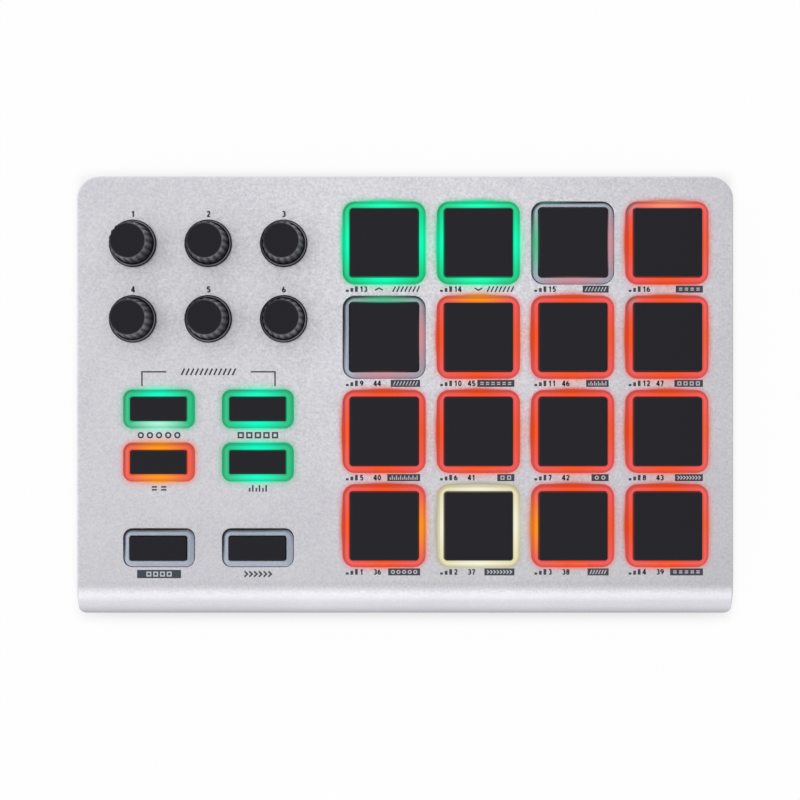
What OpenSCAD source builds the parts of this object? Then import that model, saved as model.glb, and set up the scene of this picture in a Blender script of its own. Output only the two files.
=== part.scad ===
// Desktop pad controller: sixteen sprung pads, six sprung buttons and six endless knobs in a low case.
// Millimetres. X runs left to right, Y front to rear, Z up. The origin is on the desk, under the
// middle of the case.

/* [Case] */
// Width of the case, left to right
body_w = 230; // [205:1:255]
// Depth of the case, front to rear
body_d = 154; // [138:0.5:170]
// Height of the panel's face above the desk
body_h = 30; // [29:0.5:36]
// Thickness of the top cover
cover_t = 2; // [1.6:0.1:2.4]
// Radius of the two rear corners, seen from above
rear_corner_r = 8; // [6:0.5:10]
// Radius of the two front corners, seen from above
front_corner_r = 2.6; // [2.6:0.2:4]
// Radius of the rolled front edge of the cover
front_roll_r = 12.5; // [8:0.5:13]
// Height of the parting line between cover and base
parting_z = 14.5; // [14:0.5:16]
// Thickness of the base's floor and walls
base_t = 2; // [1.6:0.1:2.4]
// How far the base's outside steps in from the cover's
base_step = 0.5; // [0.3:0.1:0.8]
// Thickness of the locating lip inside the cover
lip_t = 1.2; // [1:0.1:1.6]
// Height of the locating lip above the parting line
lip_h = 2; // [1:0.5:3]

/* [Feet and case screws] */
// Diameter of a rubber foot
foot_d = 12; // [8:1:16]
// How far a foot stands below the base
foot_drop = 2; // [1.5:0.5:3]
// How deep a foot is set into the base
foot_seat = 1; // [0.6:0.1:1.2]
// Distance of a foot's middle from the case's sides
foot_inset = 20; // [16:1:30]
// Diameter of a case screw's head
case_head_d = 5.2; // [4.8:0.1:5.6]
// Height of a case screw's head
case_head_h = 2; // [1.5:0.1:2.5]
// How far a case screw's head is sunk into the base
case_head_sink = 0.4; // [0.2:0.1:1]
// Diameter of a case screw's shank
case_shank_d = 2.8; // [2.5:0.1:3]
// Length of a case screw under its head
case_shank_l = 18; // [16:0.5:20]
// Diameter of the cover's screw bosses
boss_d = 5.5; // [5:0.1:5.8]
// Distance of the end bosses from the case's front and rear
boss_inset = 15; // [13:1:20]

/* [Panel layout] */
// Bare panel left of the knobs
knob_side_gap = 11.45; // [9:0.05:13]
// Bare panel between the knobs and the pads
control_gap = 12.4; // [11:0.05:16]
// Panel in front of the pads, with the rolled edge
front_strip = 17.25; // [15:0.05:20]
// Web of panel between two pads
pad_web = 4.2; // [3:0.1:6]
// How far the rear knobs' middles are in front of the rear pads' middles
knob_row_drop = 0.2; // [0:0.1:1]

/* [Pads] */
// Corner radius of a pad's face
pad_corner_r = 1; // [0.5:0.1:1.5]
// Height of a pad's face above the panel
pad_rise = 3.6; // [3:0.1:4.5]
// How far a pad goes down when it is struck
pad_travel = 0.8; // [0.4:0.1:1]
// How far a pad's flange reaches past its face
pad_flange_w = 0.95; // [0.7:0.05:1.1]
// Thickness of a pad's flange
pad_flange_t = 1.2; // [0.8:0.1:1.5]
// Diameter of the plunger under a pad
pad_plunger_d = 16; // [10:1:18]
// Width of the light rim around a pad
pad_rim_w = 1.85; // [1.4:0.05:1.9]
// Outer corner radius of a pad's light rim
pad_rim_r = 3.9; // [3:0.1:5]
// Diameter of a pad's force sensor
sensor_d = 19; // [12:1:21]
// Thickness of a pad's force sensor
sensor_t = 0.4; // [0.2:0.1:0.6]

/* [Buttons] */
// Width of a button's black face
button_w = 19.7; // [16:0.1:22]
// Depth of a button's black face
button_d = 8.2; // [7:0.1:9]
// Corner radius of a button's face
button_corner_r = 0.5; // [0.3:0.1:1.2]
// Distance between the two columns of buttons
button_pitch_x = 34.6; // [30:0.1:36]
// Distance between the first two rows of buttons
button_pitch_y = 18.6; // [18:0.1:20]
// Distance between the second and the front row of buttons
button_group_gap = 30; // [22:0.1:31]
// Height of a button's face above the panel
button_rise = 3.4; // [3:0.1:4.5]
// How far a button goes down when it is pressed
button_travel = 0.8; // [0.4:0.1:0.8]
// How far a button's flange reaches past its face
button_flange_w = 0.9; // [0.7:0.05:1.1]
// Thickness of a button's flange
button_flange_t = 1; // [0.8:0.1:1.2]
// Width of the light rim around a button
button_rim_w = 2.05; // [1.5:0.05:2.2]
// Outer corner radius of a button's light rim
button_rim_r = 2.8; // [2:0.1:3.5]
// Diameter of a button's stem
stem_d = 3.5; // [2.5:0.1:4]
// Side of a switch housing
switch_w = 6; // [5.5:0.1:8]
// Height of a switch housing
switch_h = 3.5; // [3:0.1:3.8]
// Depth of the well in a switch housing
switch_well = 2.2; // [2:0.1:2.6]

/* [Light frames] */
// Thickness of a light frame's plate
frame_t = 1.5; // [1:0.1:1.8]
// Height above the panel at which a light rim's slope starts
rim_rise = 0.3; // [0.2:0.1:0.8]
// Height of a light rim's crest above the panel
rim_crest = 2.5; // [2:0.1:2.8]
// Width of the flat crest around a key
rim_crest_w = 0.5; // [0.3:0.1:0.8]
// Width of a light frame's plate past its outer holes
frame_border = 1.3; // [1.2:0.1:1.5]
// Diameter of a light frame's legs
leg_d = 2.4; // [1.6:0.1:2.6]
// Length of a light emitting diode
led_l = 3.2; // [2:0.1:3.5]
// Width of a light emitting diode
led_w = 1.6; // [1:0.1:1.8]
// Height of a light emitting diode
led_h = 1.1; // [0.6:0.1:1.6]

/* [Knobs] */
// Diameter of a knob's skirt
knob_d = 16.6; // [15.6:0.1:18]
// Height of a knob
knob_h = 15; // [13:0.5:18]
// Height of a knob's skirt
skirt_h = 2.4; // [2.4:0.1:3]
// Diameter of the grip where it meets the skirt
grip_d = 14.4; // [14:0.1:14.8]
// Diameter of the grip below its top bevel
grip_top_d = 13.2; // [12.4:0.1:13.6]
// Diameter of the flat face on a knob
knob_face_d = 12; // [9:0.1:12.2]
// Height of the bevel around a knob's face
face_bevel_h = 1; // [0.5:0.1:1.5]
// Number of flutes around a grip
flutes = 18; // [12:1:22]
// Diameter of a flute
flute_d = 1.9; // [1.2:0.1:2]
// Depth of a flute
flute_depth = 0.35; // [0.2:0.05:0.45]
// Distance from knob to knob
knob_pitch = 26.4; // [22:0.1:26.6]

/* [Encoders] */
// Width of an encoder's body
encoder_w = 11.7; // [11:0.1:13]
// Depth of an encoder's body
encoder_d = 12.4; // [11:0.1:13]
// Height of an encoder's body
encoder_h = 6.5; // [6:0.1:7]
// Outside diameter of an encoder's bushing
bushing_d = 7; // [6.9:0.1:7.4]
// Thickness of the plate under a bushing
bushing_plate_t = 0.8; // [0.5:0.1:1]
// How far a bushing reaches past its nut
bushing_proud = 0.4; // [0.1:0.1:0.5]
// Diameter of an encoder's shaft
shaft_d = 6; // [5.6:0.1:6]
// Thickness of a shaft across its flat
shaft_flat = 4.5; // [4:0.1:5]
// Diameter of the collar that keeps a shaft in its body
collar_d = 8; // [7:0.1:9]
// Thickness of a shaft's collar
collar_t = 1.5; // [1:0.1:2]
// Width of an encoder's nut across its flats
nut_af = 10; // [9.5:0.1:10]
// Thickness of an encoder's nut
nut_t = 1.6; // [1.2:0.1:1.7]
// Diameter of an encoder's washer
washer_d = 10.6; // [10:0.1:11]
// Thickness of an encoder's washer
washer_t = 0.4; // [0.3:0.05:0.5]

/* [Boards] */
// Thickness of the circuit boards
board_t = 1.6; // [1.2:0.1:2]
// Distance of the main board from the front of the case
board_front_gap = 6.5; // [6:0.1:7]
// Distance of the main board from the rear of the case
board_rear_gap = 5.5; // [5:0.1:6]
// Diameter of the posts that carry the main board
post_d = 4.4; // [4:0.1:4.6]
// Diameter of a board screw's head
board_head_d = 4.2; // [3.6:0.1:4.4]
// Height of a board screw's head
board_head_h = 1.4; // [1:0.1:1.8]
// Diameter of a board screw's shank
board_shank_d = 2.1; // [1.8:0.1:2.2]
// Length of a board screw's shank in its post
board_shank_l = 4; // [3:0.5:5]
// Width of the rear board that carries the sockets
io_w = 56; // [54:1:64]
// Depth of the rear board
io_d = 24; // [22:0.5:28]
// Height of the posts under the rear board
io_post_h = 1.6; // [1.4:0.1:2]
// Distance of the rear board's middle from the left of the case
io_side = 53; // [45:1:60]
// Width of the flat cable between the boards
ribbon_w = 12; // [8:0.5:13]
// Thickness of the flat cable
ribbon_t = 0.3; // [0.2:0.05:0.5]
// Straight length of flat cable at each connector
ribbon_run = 2; // [1:0.5:4]
// Width of a flat cable connector
connector_w = 14; // [13.5:0.5:16]
// Depth of a flat cable connector
connector_d = 5; // [4:0.5:6]
// Height of a flat cable connector
connector_h = 2; // [1.5:0.1:2.5]

/* [Rear sockets] */
// Width of the USB socket's shell
usb_w = 8.94; // [8.8:0.02:9.2]
// Height of the USB socket's shell
usb_h = 3.26; // [3.2:0.02:3.4]
// Length of the USB socket's shell
usb_l = 7.4; // [6.5:0.1:9]
// Wall of the USB socket's shell
usb_t = 0.3; // [0.25:0.05:0.4]
// Width of the tongue in the USB socket
tongue_w = 6.7; // [6:0.1:6.8]
// Thickness of the tongue in the USB socket
tongue_t = 0.7; // [0.6:0.05:0.8]
// Length of the tongue in the USB socket
tongue_l = 4.8; // [4:0.1:5.2]
// Distance of the USB socket left of the rear board's middle
usb_side = 14; // [12:0.5:15]
// Bore of a jack socket
jack_bore_d = 3.6; // [3.5:0.05:3.8]
// Depth of a jack socket's bore
jack_depth = 14; // [13:0.5:15]
// Width of a jack socket's body
jack_w = 6.4; // [6:0.1:7]
// Height of a jack socket's body
jack_h = 5; // [4.8:0.1:5.4]
// Diameter of a jack socket's nose
jack_nose_d = 5.8; // [5.4:0.1:5.9]
// Distance from jack to jack
jack_pitch = 13; // [9:0.5:14]

/* [Fits] */
// Gap between a pad or button and its light rim
key_gap = 0.25; // [0.15:0.05:0.3]
// Gap between a light rim and its hole in the panel
hole_gap = 0.3; // [0.2:0.05:0.4]
// Gap between a flange and the light frame that stops it
stop_gap = 0.3; // [0.2:0.05:0.4]
// Gap left under a plunger or stem at the end of its travel
bottom_gap = 0.1; // [0.05:0.05:0.2]
// Gap between a stem and the well that guides it, on each side
stem_play = 0.1; // [0.05:0.01:0.15]
// Running gap between a shaft and its bushing, on each side
shaft_play = 0.05; // [0.03:0.01:0.08]
// Gap between a shaft and its knob, on each side
knob_play = 0.02; // [0.01:0.01:0.04]
// Gap between a knob's skirt and the panel
knob_lift = 0.6; // [0.4:0.1:0.8]
// Gap between parts that only pass each other
pass_gap = 0.3; // [0.2:0.05:0.4]
// Gap between a screw and its hole, on each side
screw_gap = 0.05; // [0.02:0.01:0.1]

/* [Hidden] */
$fn = 96;
pad_columns = 4;
pad_rows = 4;
knob_columns = 3;
button_columns = 2;
pad_count = pad_columns * pad_rows;
knob_count = 6;
button_count = 6;
least_corner_r = 0.3;
cut = 1;

panel_under = body_h - cover_t;
base_floor_z = foot_drop + base_t;
lip_gap = 0.2;
lip_inset = cover_t + lip_gap;
lip_root_h = 2;

// Screw bosses stand in a row inside each side wall.
case_pocket_r = case_head_d / 2 + pass_gap;
pocket_wall = 1.2;
base_post_wall = 0.9;
base_post_r = case_pocket_r + base_post_wall;
boss_r = boss_d / 2;
boss_x = body_w / 2 - base_step - pocket_wall - case_pocket_r;
boss_y_rear = body_d / 2 - boss_inset;
boss_y_front = boss_inset - body_d / 2;
boss_places = [for (side = [-1, 1], y = [boss_y_rear, 0, boss_y_front]) [side * boss_x, y]];
case_head_z = foot_drop + case_head_sink;
case_shank_z = case_head_z + case_head_h;
boss_roof = 2;
boss_hole_top = panel_under - boss_roof;
screw_cross_w = 0.8;
screw_cross_depth = 0.9;

// The main board hangs under the panel at the height that seats the encoders.
board_top = panel_under - encoder_h - bushing_plate_t;
board_under = board_top - board_t;
board_half_w = boss_x - boss_r - pass_gap;
board_front = board_front_gap - body_d / 2;
board_rear = body_d / 2 - board_rear_gap;

// Light frames: plates under the panel whose rims come up through its holes.
frame_under = panel_under - frame_t;
rim_foot = body_h + rim_rise;
rim_top = body_h + rim_crest;
flange_top = frame_under - stop_gap;

// The pads share out the panel that the controls, the bosses and the front strip leave them.
control_block_w = knob_side_gap + (knob_columns - 1) * knob_pitch + knob_d + control_gap;
pad_frame_right = board_half_w;
pad_edge_gap = body_w / 2 - pad_frame_right + frame_border;
pad_field = [body_w - control_block_w - pad_edge_gap, body_d - front_strip - pad_edge_gap];
pad_pitch = [(pad_field.x + pad_web) / pad_columns, (pad_field.y + pad_web) / pad_rows];
pad_hole = pad_pitch - pad_web * [1, 1];
pad_hole_r = pad_rim_r + hole_gap;
pad_rim = pad_hole - 2 * hole_gap * [1, 1];
pad_open = pad_rim - 2 * pad_rim_w * [1, 1];
pad_size = pad_open - 2 * key_gap * [1, 1];
pad_flange = pad_size + 2 * pad_flange_w * [1, 1];
pad_x_left = body_w / 2 - pad_edge_gap - pad_field.x + pad_hole.x / 2;
pad_y_rear = body_d / 2 - pad_edge_gap - pad_hole.y / 2;
pad_y_front = pad_y_rear - (pad_rows - 1) * pad_pitch.y;
pad_frame_left = pad_x_left - pad_hole.x / 2 - frame_border;
pad_frame_rear = pad_y_rear + pad_hole.y / 2 + frame_border;
pad_frame_front = pad_y_front - pad_hole.y / 2 - frame_border;
pad_top = body_h + pad_rise;
pad_flange_z = flange_top - pad_flange_t;
pad_plunger_z = board_top + sensor_t + bottom_gap + pad_travel;

button_open = [button_w + 2 * key_gap, button_d + 2 * key_gap];
button_rim = [button_open.x + 2 * button_rim_w, button_open.y + 2 * button_rim_w];
button_hole = [button_rim.x + 2 * hole_gap, button_rim.y + 2 * hole_gap];
button_hole_r = button_rim_r + hole_gap;
button_flange = [button_w + 2 * button_flange_w, button_d + 2 * button_flange_w];
button_top = body_h + button_rise;
button_flange_z = flange_top - button_flange_t;
well_floor_z = board_top + switch_h - switch_well;
stem_z = well_floor_z + bottom_gap + button_travel;

knob_x_left = knob_side_gap + knob_d / 2 - body_w / 2;
knob_x_middle = knob_x_left + knob_pitch;
knob_y_rear = pad_y_rear - knob_row_drop;
knob_z = body_h + knob_lift;

// The front row of buttons lines up with the front edge of the pads' holes.
button_x_left = knob_x_middle - button_pitch_x / 2;
button_y_front = pad_y_front - pad_hole.y / 2 + button_hole.y / 2;
button_rows_y = [
    button_y_front + button_group_gap + button_pitch_y,
    button_y_front + button_group_gap,
    button_y_front
];
button_frame_half_w = button_pitch_x / 2 + button_hole.x / 2 + frame_border;
button_frame_rear = button_rows_y[0] + button_hole.y / 2 + frame_border;
button_frame_front = button_y_front - button_hole.y / 2 - frame_border;

// Places of the posts under the panel: at the corners where four pads meet, and around the controls.
post_r = post_d / 2;
pad_cross_places = [
    for (i = [0 : pad_columns - 2], j = [0 : pad_rows - 2])
        [pad_x_left + (i + 0.5) * pad_pitch.x, pad_y_front + (j + 0.5) * pad_pitch.y]
];
is_post_cross = [for (i = [0 : pad_columns - 2], j = [0 : pad_rows - 2]) i != 1 && j != 1];
pad_post_places = [for (k = [0 : len(pad_cross_places) - 1]) if (is_post_cross[k]) pad_cross_places[k]];
pad_leg_places = [for (k = [0 : len(pad_cross_places) - 1]) if (!is_post_cross[k]) pad_cross_places[k]];
knob_y_front = knob_y_rear - knob_pitch;
middle_post_gap = 4;
middle_post_x = pad_frame_left - middle_post_gap - post_r;
side_post_places = [
    [knob_x_middle, (knob_y_rear + encoder_d / 2 + board_rear) / 2],
    [knob_x_middle - knob_pitch / 2, (knob_y_rear + knob_y_front) / 2],
    [knob_x_middle + knob_pitch / 2, (knob_y_rear + knob_y_front) / 2],
    [knob_x_middle, (button_frame_front + board_front) / 2],
    [middle_post_x, pad_y_rear],
    [middle_post_x, pad_y_front]
];
post_places = concat(side_post_places, pad_post_places);
tip_gap = 1;
post_hole_l = board_shank_l + tip_gap;

// Encoders: body on the board, bushing through the panel, shaft up into the knob.
bushing_r = bushing_d / 2;
bushing_z = panel_under - bushing_plate_t;
bushing_top = body_h + washer_t + nut_t + bushing_proud;
shaft_r = shaft_d / 2;
collar_r = collar_d / 2;
well_r = collar_r + pass_gap;
collar_lift = 1.5;
collar_z = board_top + collar_lift;
nut_recess_r = nut_af / 2 / cos(30) + pass_gap;
nut_recess_h = washer_t + nut_t + bushing_proud - knob_lift + pass_gap;
knob_roof = 2;
knob_bore_l = knob_h - knob_roof;
shaft_top = knob_z + knob_bore_l - pass_gap;
flat_z = bushing_top;
skirt_edge_h = 1;
skirt_bevel = 0.8;
step_z = skirt_edge_h + skirt_bevel;
grip_slope = atan((grip_d - grip_top_d) / 2 / (knob_h - face_bevel_h - skirt_h));

// Rear board and its sockets.
base_rear = body_d / 2 - base_step;
io_x = io_side - body_w / 2;
io_under = base_floor_z + io_post_h;
io_top = io_under + board_t;
io_gap = 0.5;
io_rear = base_rear - base_t - io_gap;
io_y = io_rear - io_d / 2;
io_screw_inset = 3.5;
io_post_r = 2.6;
io_screw_places = [
    for (sx = [-1, 1], sy = [-1, 1])
        [io_x + sx * (io_w / 2 - io_screw_inset), io_y + sy * (io_d / 2 - io_screw_inset)]
];
io_shank_floor = 0.6;
io_shank_l = board_t + io_post_h + base_t - io_shank_floor;
usb_x = io_x - usb_side;
usb_z = io_top + usb_h / 2;
usb_setback = 0.6;
usb_mouth = base_rear - usb_setback;
jack_side = 2;
jack_xs = [io_x + jack_side, io_x + jack_side + jack_pitch];
jack_z = io_top + jack_h / 2;
jack_setback = 0.3;
jack_overhang = 0.15;
jack_back = 1.2;
jack_mouth = base_rear - jack_setback;
jack_shoulder = io_rear + jack_overhang;
jack_nose_l = jack_mouth - jack_shoulder + jack_overhang / 2;
jack_body_l = jack_depth + jack_back - (jack_mouth - jack_shoulder);

// The flat cable leaves both connectors forwards and turns back on itself in one half circle.
connector_inset = 0.5;
connector_y = io_y - io_d / 2 + connector_inset;
ribbon_low = io_top + connector_h / 2;
ribbon_high = board_under - connector_h / 2;
ribbon_r = (ribbon_high - ribbon_low) / 2;

cover_colour = "silver";
black_plastic = [0.09, 0.09, 0.1];
black_rubber = [0.13, 0.13, 0.15];
clear_white = [0.85, 0.87, 0.9];
board_green = [0.05, 0.3, 0.16];
steel = [0.7, 0.71, 0.73];
brass = [0.8, 0.66, 0.35];

// Pads count from the front left, row by row; knobs and buttons from the rear left.
function pad_place(i) = [
    pad_x_left + ((i - 1) % pad_columns) * pad_pitch.x,
    pad_y_front + floor((i - 1) / pad_columns) * pad_pitch.y
];
function knob_place(i) = [
    knob_x_left + ((i - 1) % knob_columns) * knob_pitch,
    knob_y_rear - floor((i - 1) / knob_columns) * knob_pitch
];
function button_place(i) = [
    button_x_left + ((i - 1) % button_columns) * button_pitch_x,
    button_rows_y[floor((i - 1) / button_columns)]
];
function corner_r(r, inset) = max(r - inset, least_corner_r);

// Shared shapes

module at(place, z = 0) {
    translate([place.x, place.y, z]) children();
}

module rounded_rect(size, r) {
    square([size.x - 2 * r, size.y], center = true);
    square([size.x, size.y - 2 * r], center = true);
    for (sx = [-1, 1], sy = [-1, 1])
        translate([sx * (size.x / 2 - r), sy * (size.y / 2 - r)]) circle(r);
}

module rounded_slab(size, r, h) {
    linear_extrude(h) rounded_rect(size, r);
}

// A rounded slab whose sides lean in by inset over its height.
module sloped_slab(size, r, inset, h) {
    half = size / 2;
    rotate([90, 0, 90]) linear_extrude(size.x - 2 * r, center = true)
        polygon([[-half.y, 0], [half.y, 0], [half.y - inset, h], [inset - half.y, h]]);
    rotate([90, 0, 0]) linear_extrude(size.y - 2 * r, center = true)
        polygon([[-half.x, 0], [half.x, 0], [half.x - inset, h], [inset - half.x, h]]);
    for (sx = [-1, 1], sy = [-1, 1])
        translate([sx * (half.x - r), sy * (half.y - r), 0]) cylinder(r1 = r, r2 = r - inset, h = h);
}

// The rim around one key: upright through the panel, then sloping up to its crest.
module light_rim(size, r, width) {
    rounded_slab(size, r, rim_foot - frame_under);
    translate([0, 0, rim_foot - frame_under])
        sloped_slab(size, r, width - rim_crest_w, rim_top - rim_foot);
}

module stadium(w, h) {
    square([w - h, h], center = true);
    for (side = [-1, 1]) translate([side * (w - h) / 2, 0]) circle(h / 2);
}

// Outline of the case from above, drawn in by inset on every side.
module case_plan(inset) {
    half_w = body_w / 2 - inset;
    half_d = body_d / 2 - inset;
    rear_r = corner_r(rear_corner_r, inset);
    front_r = corner_r(front_corner_r, inset);
    translate([-half_w, front_r - half_d]) square([2 * half_w, 2 * half_d - rear_r - front_r]);
    translate([rear_r - half_w, 0]) square([2 * (half_w - rear_r), half_d]);
    translate([front_r - half_w, -half_d]) square([2 * (half_w - front_r), half_d]);
    for (side = [-1, 1]) {
        translate([side * (half_w - rear_r), half_d - rear_r]) circle(rear_r);
        translate([side * (half_w - front_r), front_r - half_d]) circle(front_r);
    }
}

module case_slab(inset, low, high) {
    translate([0, 0, low]) linear_extrude(high - low) case_plan(inset);
}

// Side view of the cover, drawn in by inset: flat on top, rolled down at the front.
module cover_profile(inset, low) {
    front = inset - body_d / 2;
    top = body_h - inset;
    roll_r = front_roll_r - inset;
    rear = body_d / 2 + cut;
    translate([front + roll_r, low]) square([rear - front - roll_r, top - low]);
    translate([front, low]) square([rear - front, top - roll_r - low]);
    translate([front + roll_r, top - roll_r]) circle(roll_r);
}

module cover_block(inset, low) {
    intersection() {
        case_slab(inset, low, body_h + cut);
        rotate([90, 0, 90]) linear_extrude(body_w + 2 * cut, center = true) cover_profile(inset, low);
    }
}

// Case

module top_cover() {
    color(cover_colour)
    difference() {
        union() {
            difference() {
                cover_block(0, parting_z);
                cover_block(cover_t, parting_z - cut);
            }
            for (p = boss_places) at(p, parting_z) cylinder(r = boss_r, h = panel_under + cut - parting_z);
            for (p = post_places) at(p, board_top) cylinder(r = post_r, h = panel_under + cut - board_top);
        }
        for (i = [1 : pad_count])
            at(pad_place(i), panel_under - cut)
                rounded_slab(pad_hole, pad_hole_r, cover_t + 2 * cut);
        for (i = [1 : button_count])
            at(button_place(i), panel_under - cut)
                rounded_slab(button_hole, button_hole_r, cover_t + 2 * cut);
        for (i = [1 : knob_count])
            at(knob_place(i), panel_under - cut) cylinder(r = bushing_r + pass_gap, h = cover_t + 2 * cut);
        for (p = boss_places)
            at(p, parting_z - cut)
                cylinder(d = case_shank_d + 2 * screw_gap, h = boss_hole_top + cut - parting_z);
        for (p = post_places)
            at(p, board_top - cut) cylinder(d = board_shank_d + 2 * screw_gap, h = post_hole_l + cut);
    }
}

module base_tray() {
    color(black_plastic)
    difference() {
        union() {
            difference() {
                case_slab(base_step, foot_drop, parting_z);
                case_slab(base_step + base_t, base_floor_z, parting_z + cut);
            }
            difference() {
                case_slab(lip_inset, parting_z - lip_root_h, parting_z + lip_h);
                case_slab(lip_inset + lip_t, parting_z - lip_root_h - cut, parting_z + lip_h + cut);
                for (p = boss_places) at(p, parting_z) cylinder(r = boss_r + pass_gap, h = lip_h + cut);
            }
            for (p = boss_places)
                at(p, foot_drop + base_t / 2)
                    cylinder(r = base_post_r, h = parting_z - foot_drop - base_t / 2);
            for (p = io_screw_places)
                at(p, foot_drop + base_t / 2)
                    cylinder(r = io_post_r, h = io_under - foot_drop - base_t / 2);
        }
        for (p = boss_places) {
            at(p, foot_drop - cut) cylinder(r = case_pocket_r, h = case_shank_z + cut - foot_drop);
            at(p, foot_drop) cylinder(d = case_shank_d + 2 * pass_gap, h = parting_z + cut - foot_drop);
        }
        for (p = io_screw_places)
            at(p, io_top - io_shank_l - screw_gap)
                cylinder(d = board_shank_d + 2 * screw_gap, h = io_shank_l);
        for (p = foot_places()) at(p, foot_drop - cut)
            cylinder(d = foot_d + 2 * pass_gap, h = foot_seat + cut);
        rear_wall_cut(usb_x, usb_z) stadium(usb_w + 2 * pass_gap, usb_h + 2 * pass_gap);
        for (x = jack_xs) rear_wall_cut(x, jack_z) circle(jack_nose_d / 2 + pass_gap);
    }
}

// A cut of the outline given, through the base's rear wall.
module rear_wall_cut(x, z) {
    translate([x, base_rear + cut, z]) rotate([90, 0, 0]) linear_extrude(base_t + 2 * cut) children();
}

function foot_places() = [
    for (sx = [-1, 1], sy = [-1, 1]) [sx * (body_w / 2 - foot_inset), sy * (body_d / 2 - foot_inset)]
];

module rubber_feet() {
    color(black_rubber)
    for (p = foot_places()) at(p) cylinder(d = foot_d, h = foot_drop + foot_seat);
}

// A screw standing on its head, with a cross cut into the head.
module screw(head_d, head_h, shank_d, shank_l) {
    difference() {
        union() {
            cylinder(d = head_d, h = head_h);
            cylinder(d = shank_d, h = head_h + shank_l);
        }
        for (turn = [0, 90])
            rotate(turn)
                translate([0, 0, screw_cross_depth / 2 - cut / 2])
                    cube([head_d * 0.6, screw_cross_w, screw_cross_depth + cut], center = true);
    }
}

module case_screws() {
    color(steel)
    for (p = boss_places) at(p, case_head_z) screw(case_head_d, case_head_h, case_shank_d, case_shank_l);
}

// Boards

module main_board() {
    color(board_green)
    difference() {
        translate([-board_half_w, board_front, board_under])
            cube([2 * board_half_w, board_rear - board_front, board_t]);
        for (p = post_places) at(p, board_under - cut)
            cylinder(d = board_shank_d + 2 * pass_gap, h = board_t + 2 * cut);
    }
}

module board_screws() {
    color(steel)
    for (p = post_places)
        at(p, board_under - board_head_h)
            screw(board_head_d, board_head_h, board_shank_d, board_t + board_shank_l);
}

module pad_sensors() {
    color([0.25, 0.22, 0.16])
    for (i = [1 : pad_count]) at(pad_place(i), board_top) cylinder(d = sensor_d, h = sensor_t);
}

// Four diodes light each pad's rim, and two each button's.
module lighting_leds() {
    edge = pass_gap + led_w / 2;
    color([0.95, 0.94, 0.85]) {
        for (i = [1 : pad_count], turn = [0, 180])
            at(pad_place(i), board_top) {
                rotate(turn) led(pad_flange.y / 2 + edge);
                rotate(turn + 90) led(pad_flange.x / 2 + edge);
            }
        for (i = [1 : button_count], turn = [0, 180])
            at(button_place(i), board_top) rotate(turn) led(button_flange.y / 2 + edge);
    }
}

module led(reach) {
    translate([-led_l / 2, reach - led_w / 2, 0]) cube([led_l, led_w, led_h]);
}

module board_chips() {
    chips = [
        [pad_place(5), [10, 10, 1.4]],
        [pad_place(11), [7, 7, 1]],
        [pad_place(8), [7, 7, 1]],
        [[knob_x_middle, button_rows_y[1]], [6, 5, 1.5]]
    ];
    color([0.12, 0.12, 0.13])
    for (c = chips)
        at(c[0], board_under - c[1].z / 2) cube(c[1], center = true);
}

module button_switches() {
    color([0.18, 0.18, 0.2])
    for (i = [1 : button_count])
        at(button_place(i), board_top)
            difference() {
                translate([0, 0, switch_h / 2]) cube([switch_w, switch_w, switch_h], center = true);
                translate([0, 0, switch_h - switch_well])
                    cylinder(d = stem_d + 2 * stem_play, h = switch_well + cut);
            }
}

// Light frames

module pad_light_frame() {
    color(clear_white)
    difference() {
        union() {
            translate([pad_frame_left, pad_frame_front, frame_under])
                cube([pad_frame_right - pad_frame_left, pad_frame_rear - pad_frame_front, frame_t]);
            for (i = [1 : pad_count])
                at(pad_place(i), frame_under) light_rim(pad_rim, pad_rim_r, pad_rim_w);
            for (p = pad_leg_places) at(p, board_top)
                cylinder(d = leg_d, h = frame_under + frame_t / 2 - board_top);
        }
        for (i = [1 : pad_count])
            at(pad_place(i), frame_under - cut)
                rounded_slab(pad_open, pad_corner_r + key_gap, rim_top - frame_under + 2 * cut);
        for (p = pad_post_places) at(p, frame_under - cut)
            cylinder(r = post_r + pass_gap, h = frame_t + 2 * cut);
    }
}

module button_light_frame() {
    leg_inset = leg_d / 2;
    plate_d = button_frame_rear - button_frame_front;
    color(clear_white)
    difference() {
        union() {
            translate([knob_x_middle - button_frame_half_w, button_frame_front, frame_under])
                cube([2 * button_frame_half_w, plate_d, frame_t]);
            for (i = [1 : button_count])
                at(button_place(i), frame_under) light_rim(button_rim, button_rim_r, button_rim_w);
            for (side = [-1, 1], y = [button_frame_front + leg_inset, button_frame_rear - leg_inset])
                at([knob_x_middle + side * (button_frame_half_w - leg_inset), y], board_top)
                    cylinder(d = leg_d, h = frame_under + frame_t / 2 - board_top);
        }
        for (i = [1 : button_count])
            at(button_place(i), frame_under - cut)
                rounded_slab(button_open, button_corner_r + key_gap, rim_top - frame_under + 2 * cut);
    }
}

// Moving parts

module pad(i) {
    color(black_rubber)
    at(pad_place(i)) {
        translate([0, 0, pad_flange_z])
            rounded_slab(pad_size, pad_corner_r, pad_top - pad_flange_z);
        translate([0, 0, pad_flange_z])
            rounded_slab(pad_flange, pad_corner_r + pad_flange_w, pad_flange_t);
        translate([0, 0, pad_plunger_z]) cylinder(d = pad_plunger_d, h = pad_top - cut - pad_plunger_z);
    }
}

module button(i) {
    color(black_rubber)
    at(button_place(i)) {
        translate([0, 0, button_flange_z])
            rounded_slab([button_w, button_d], button_corner_r, button_top - button_flange_z);
        translate([0, 0, button_flange_z])
            rounded_slab(button_flange, button_corner_r + button_flange_w, button_flange_t);
        translate([0, 0, stem_z]) cylinder(d = stem_d, h = button_top - cut - stem_z);
    }
}

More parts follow.
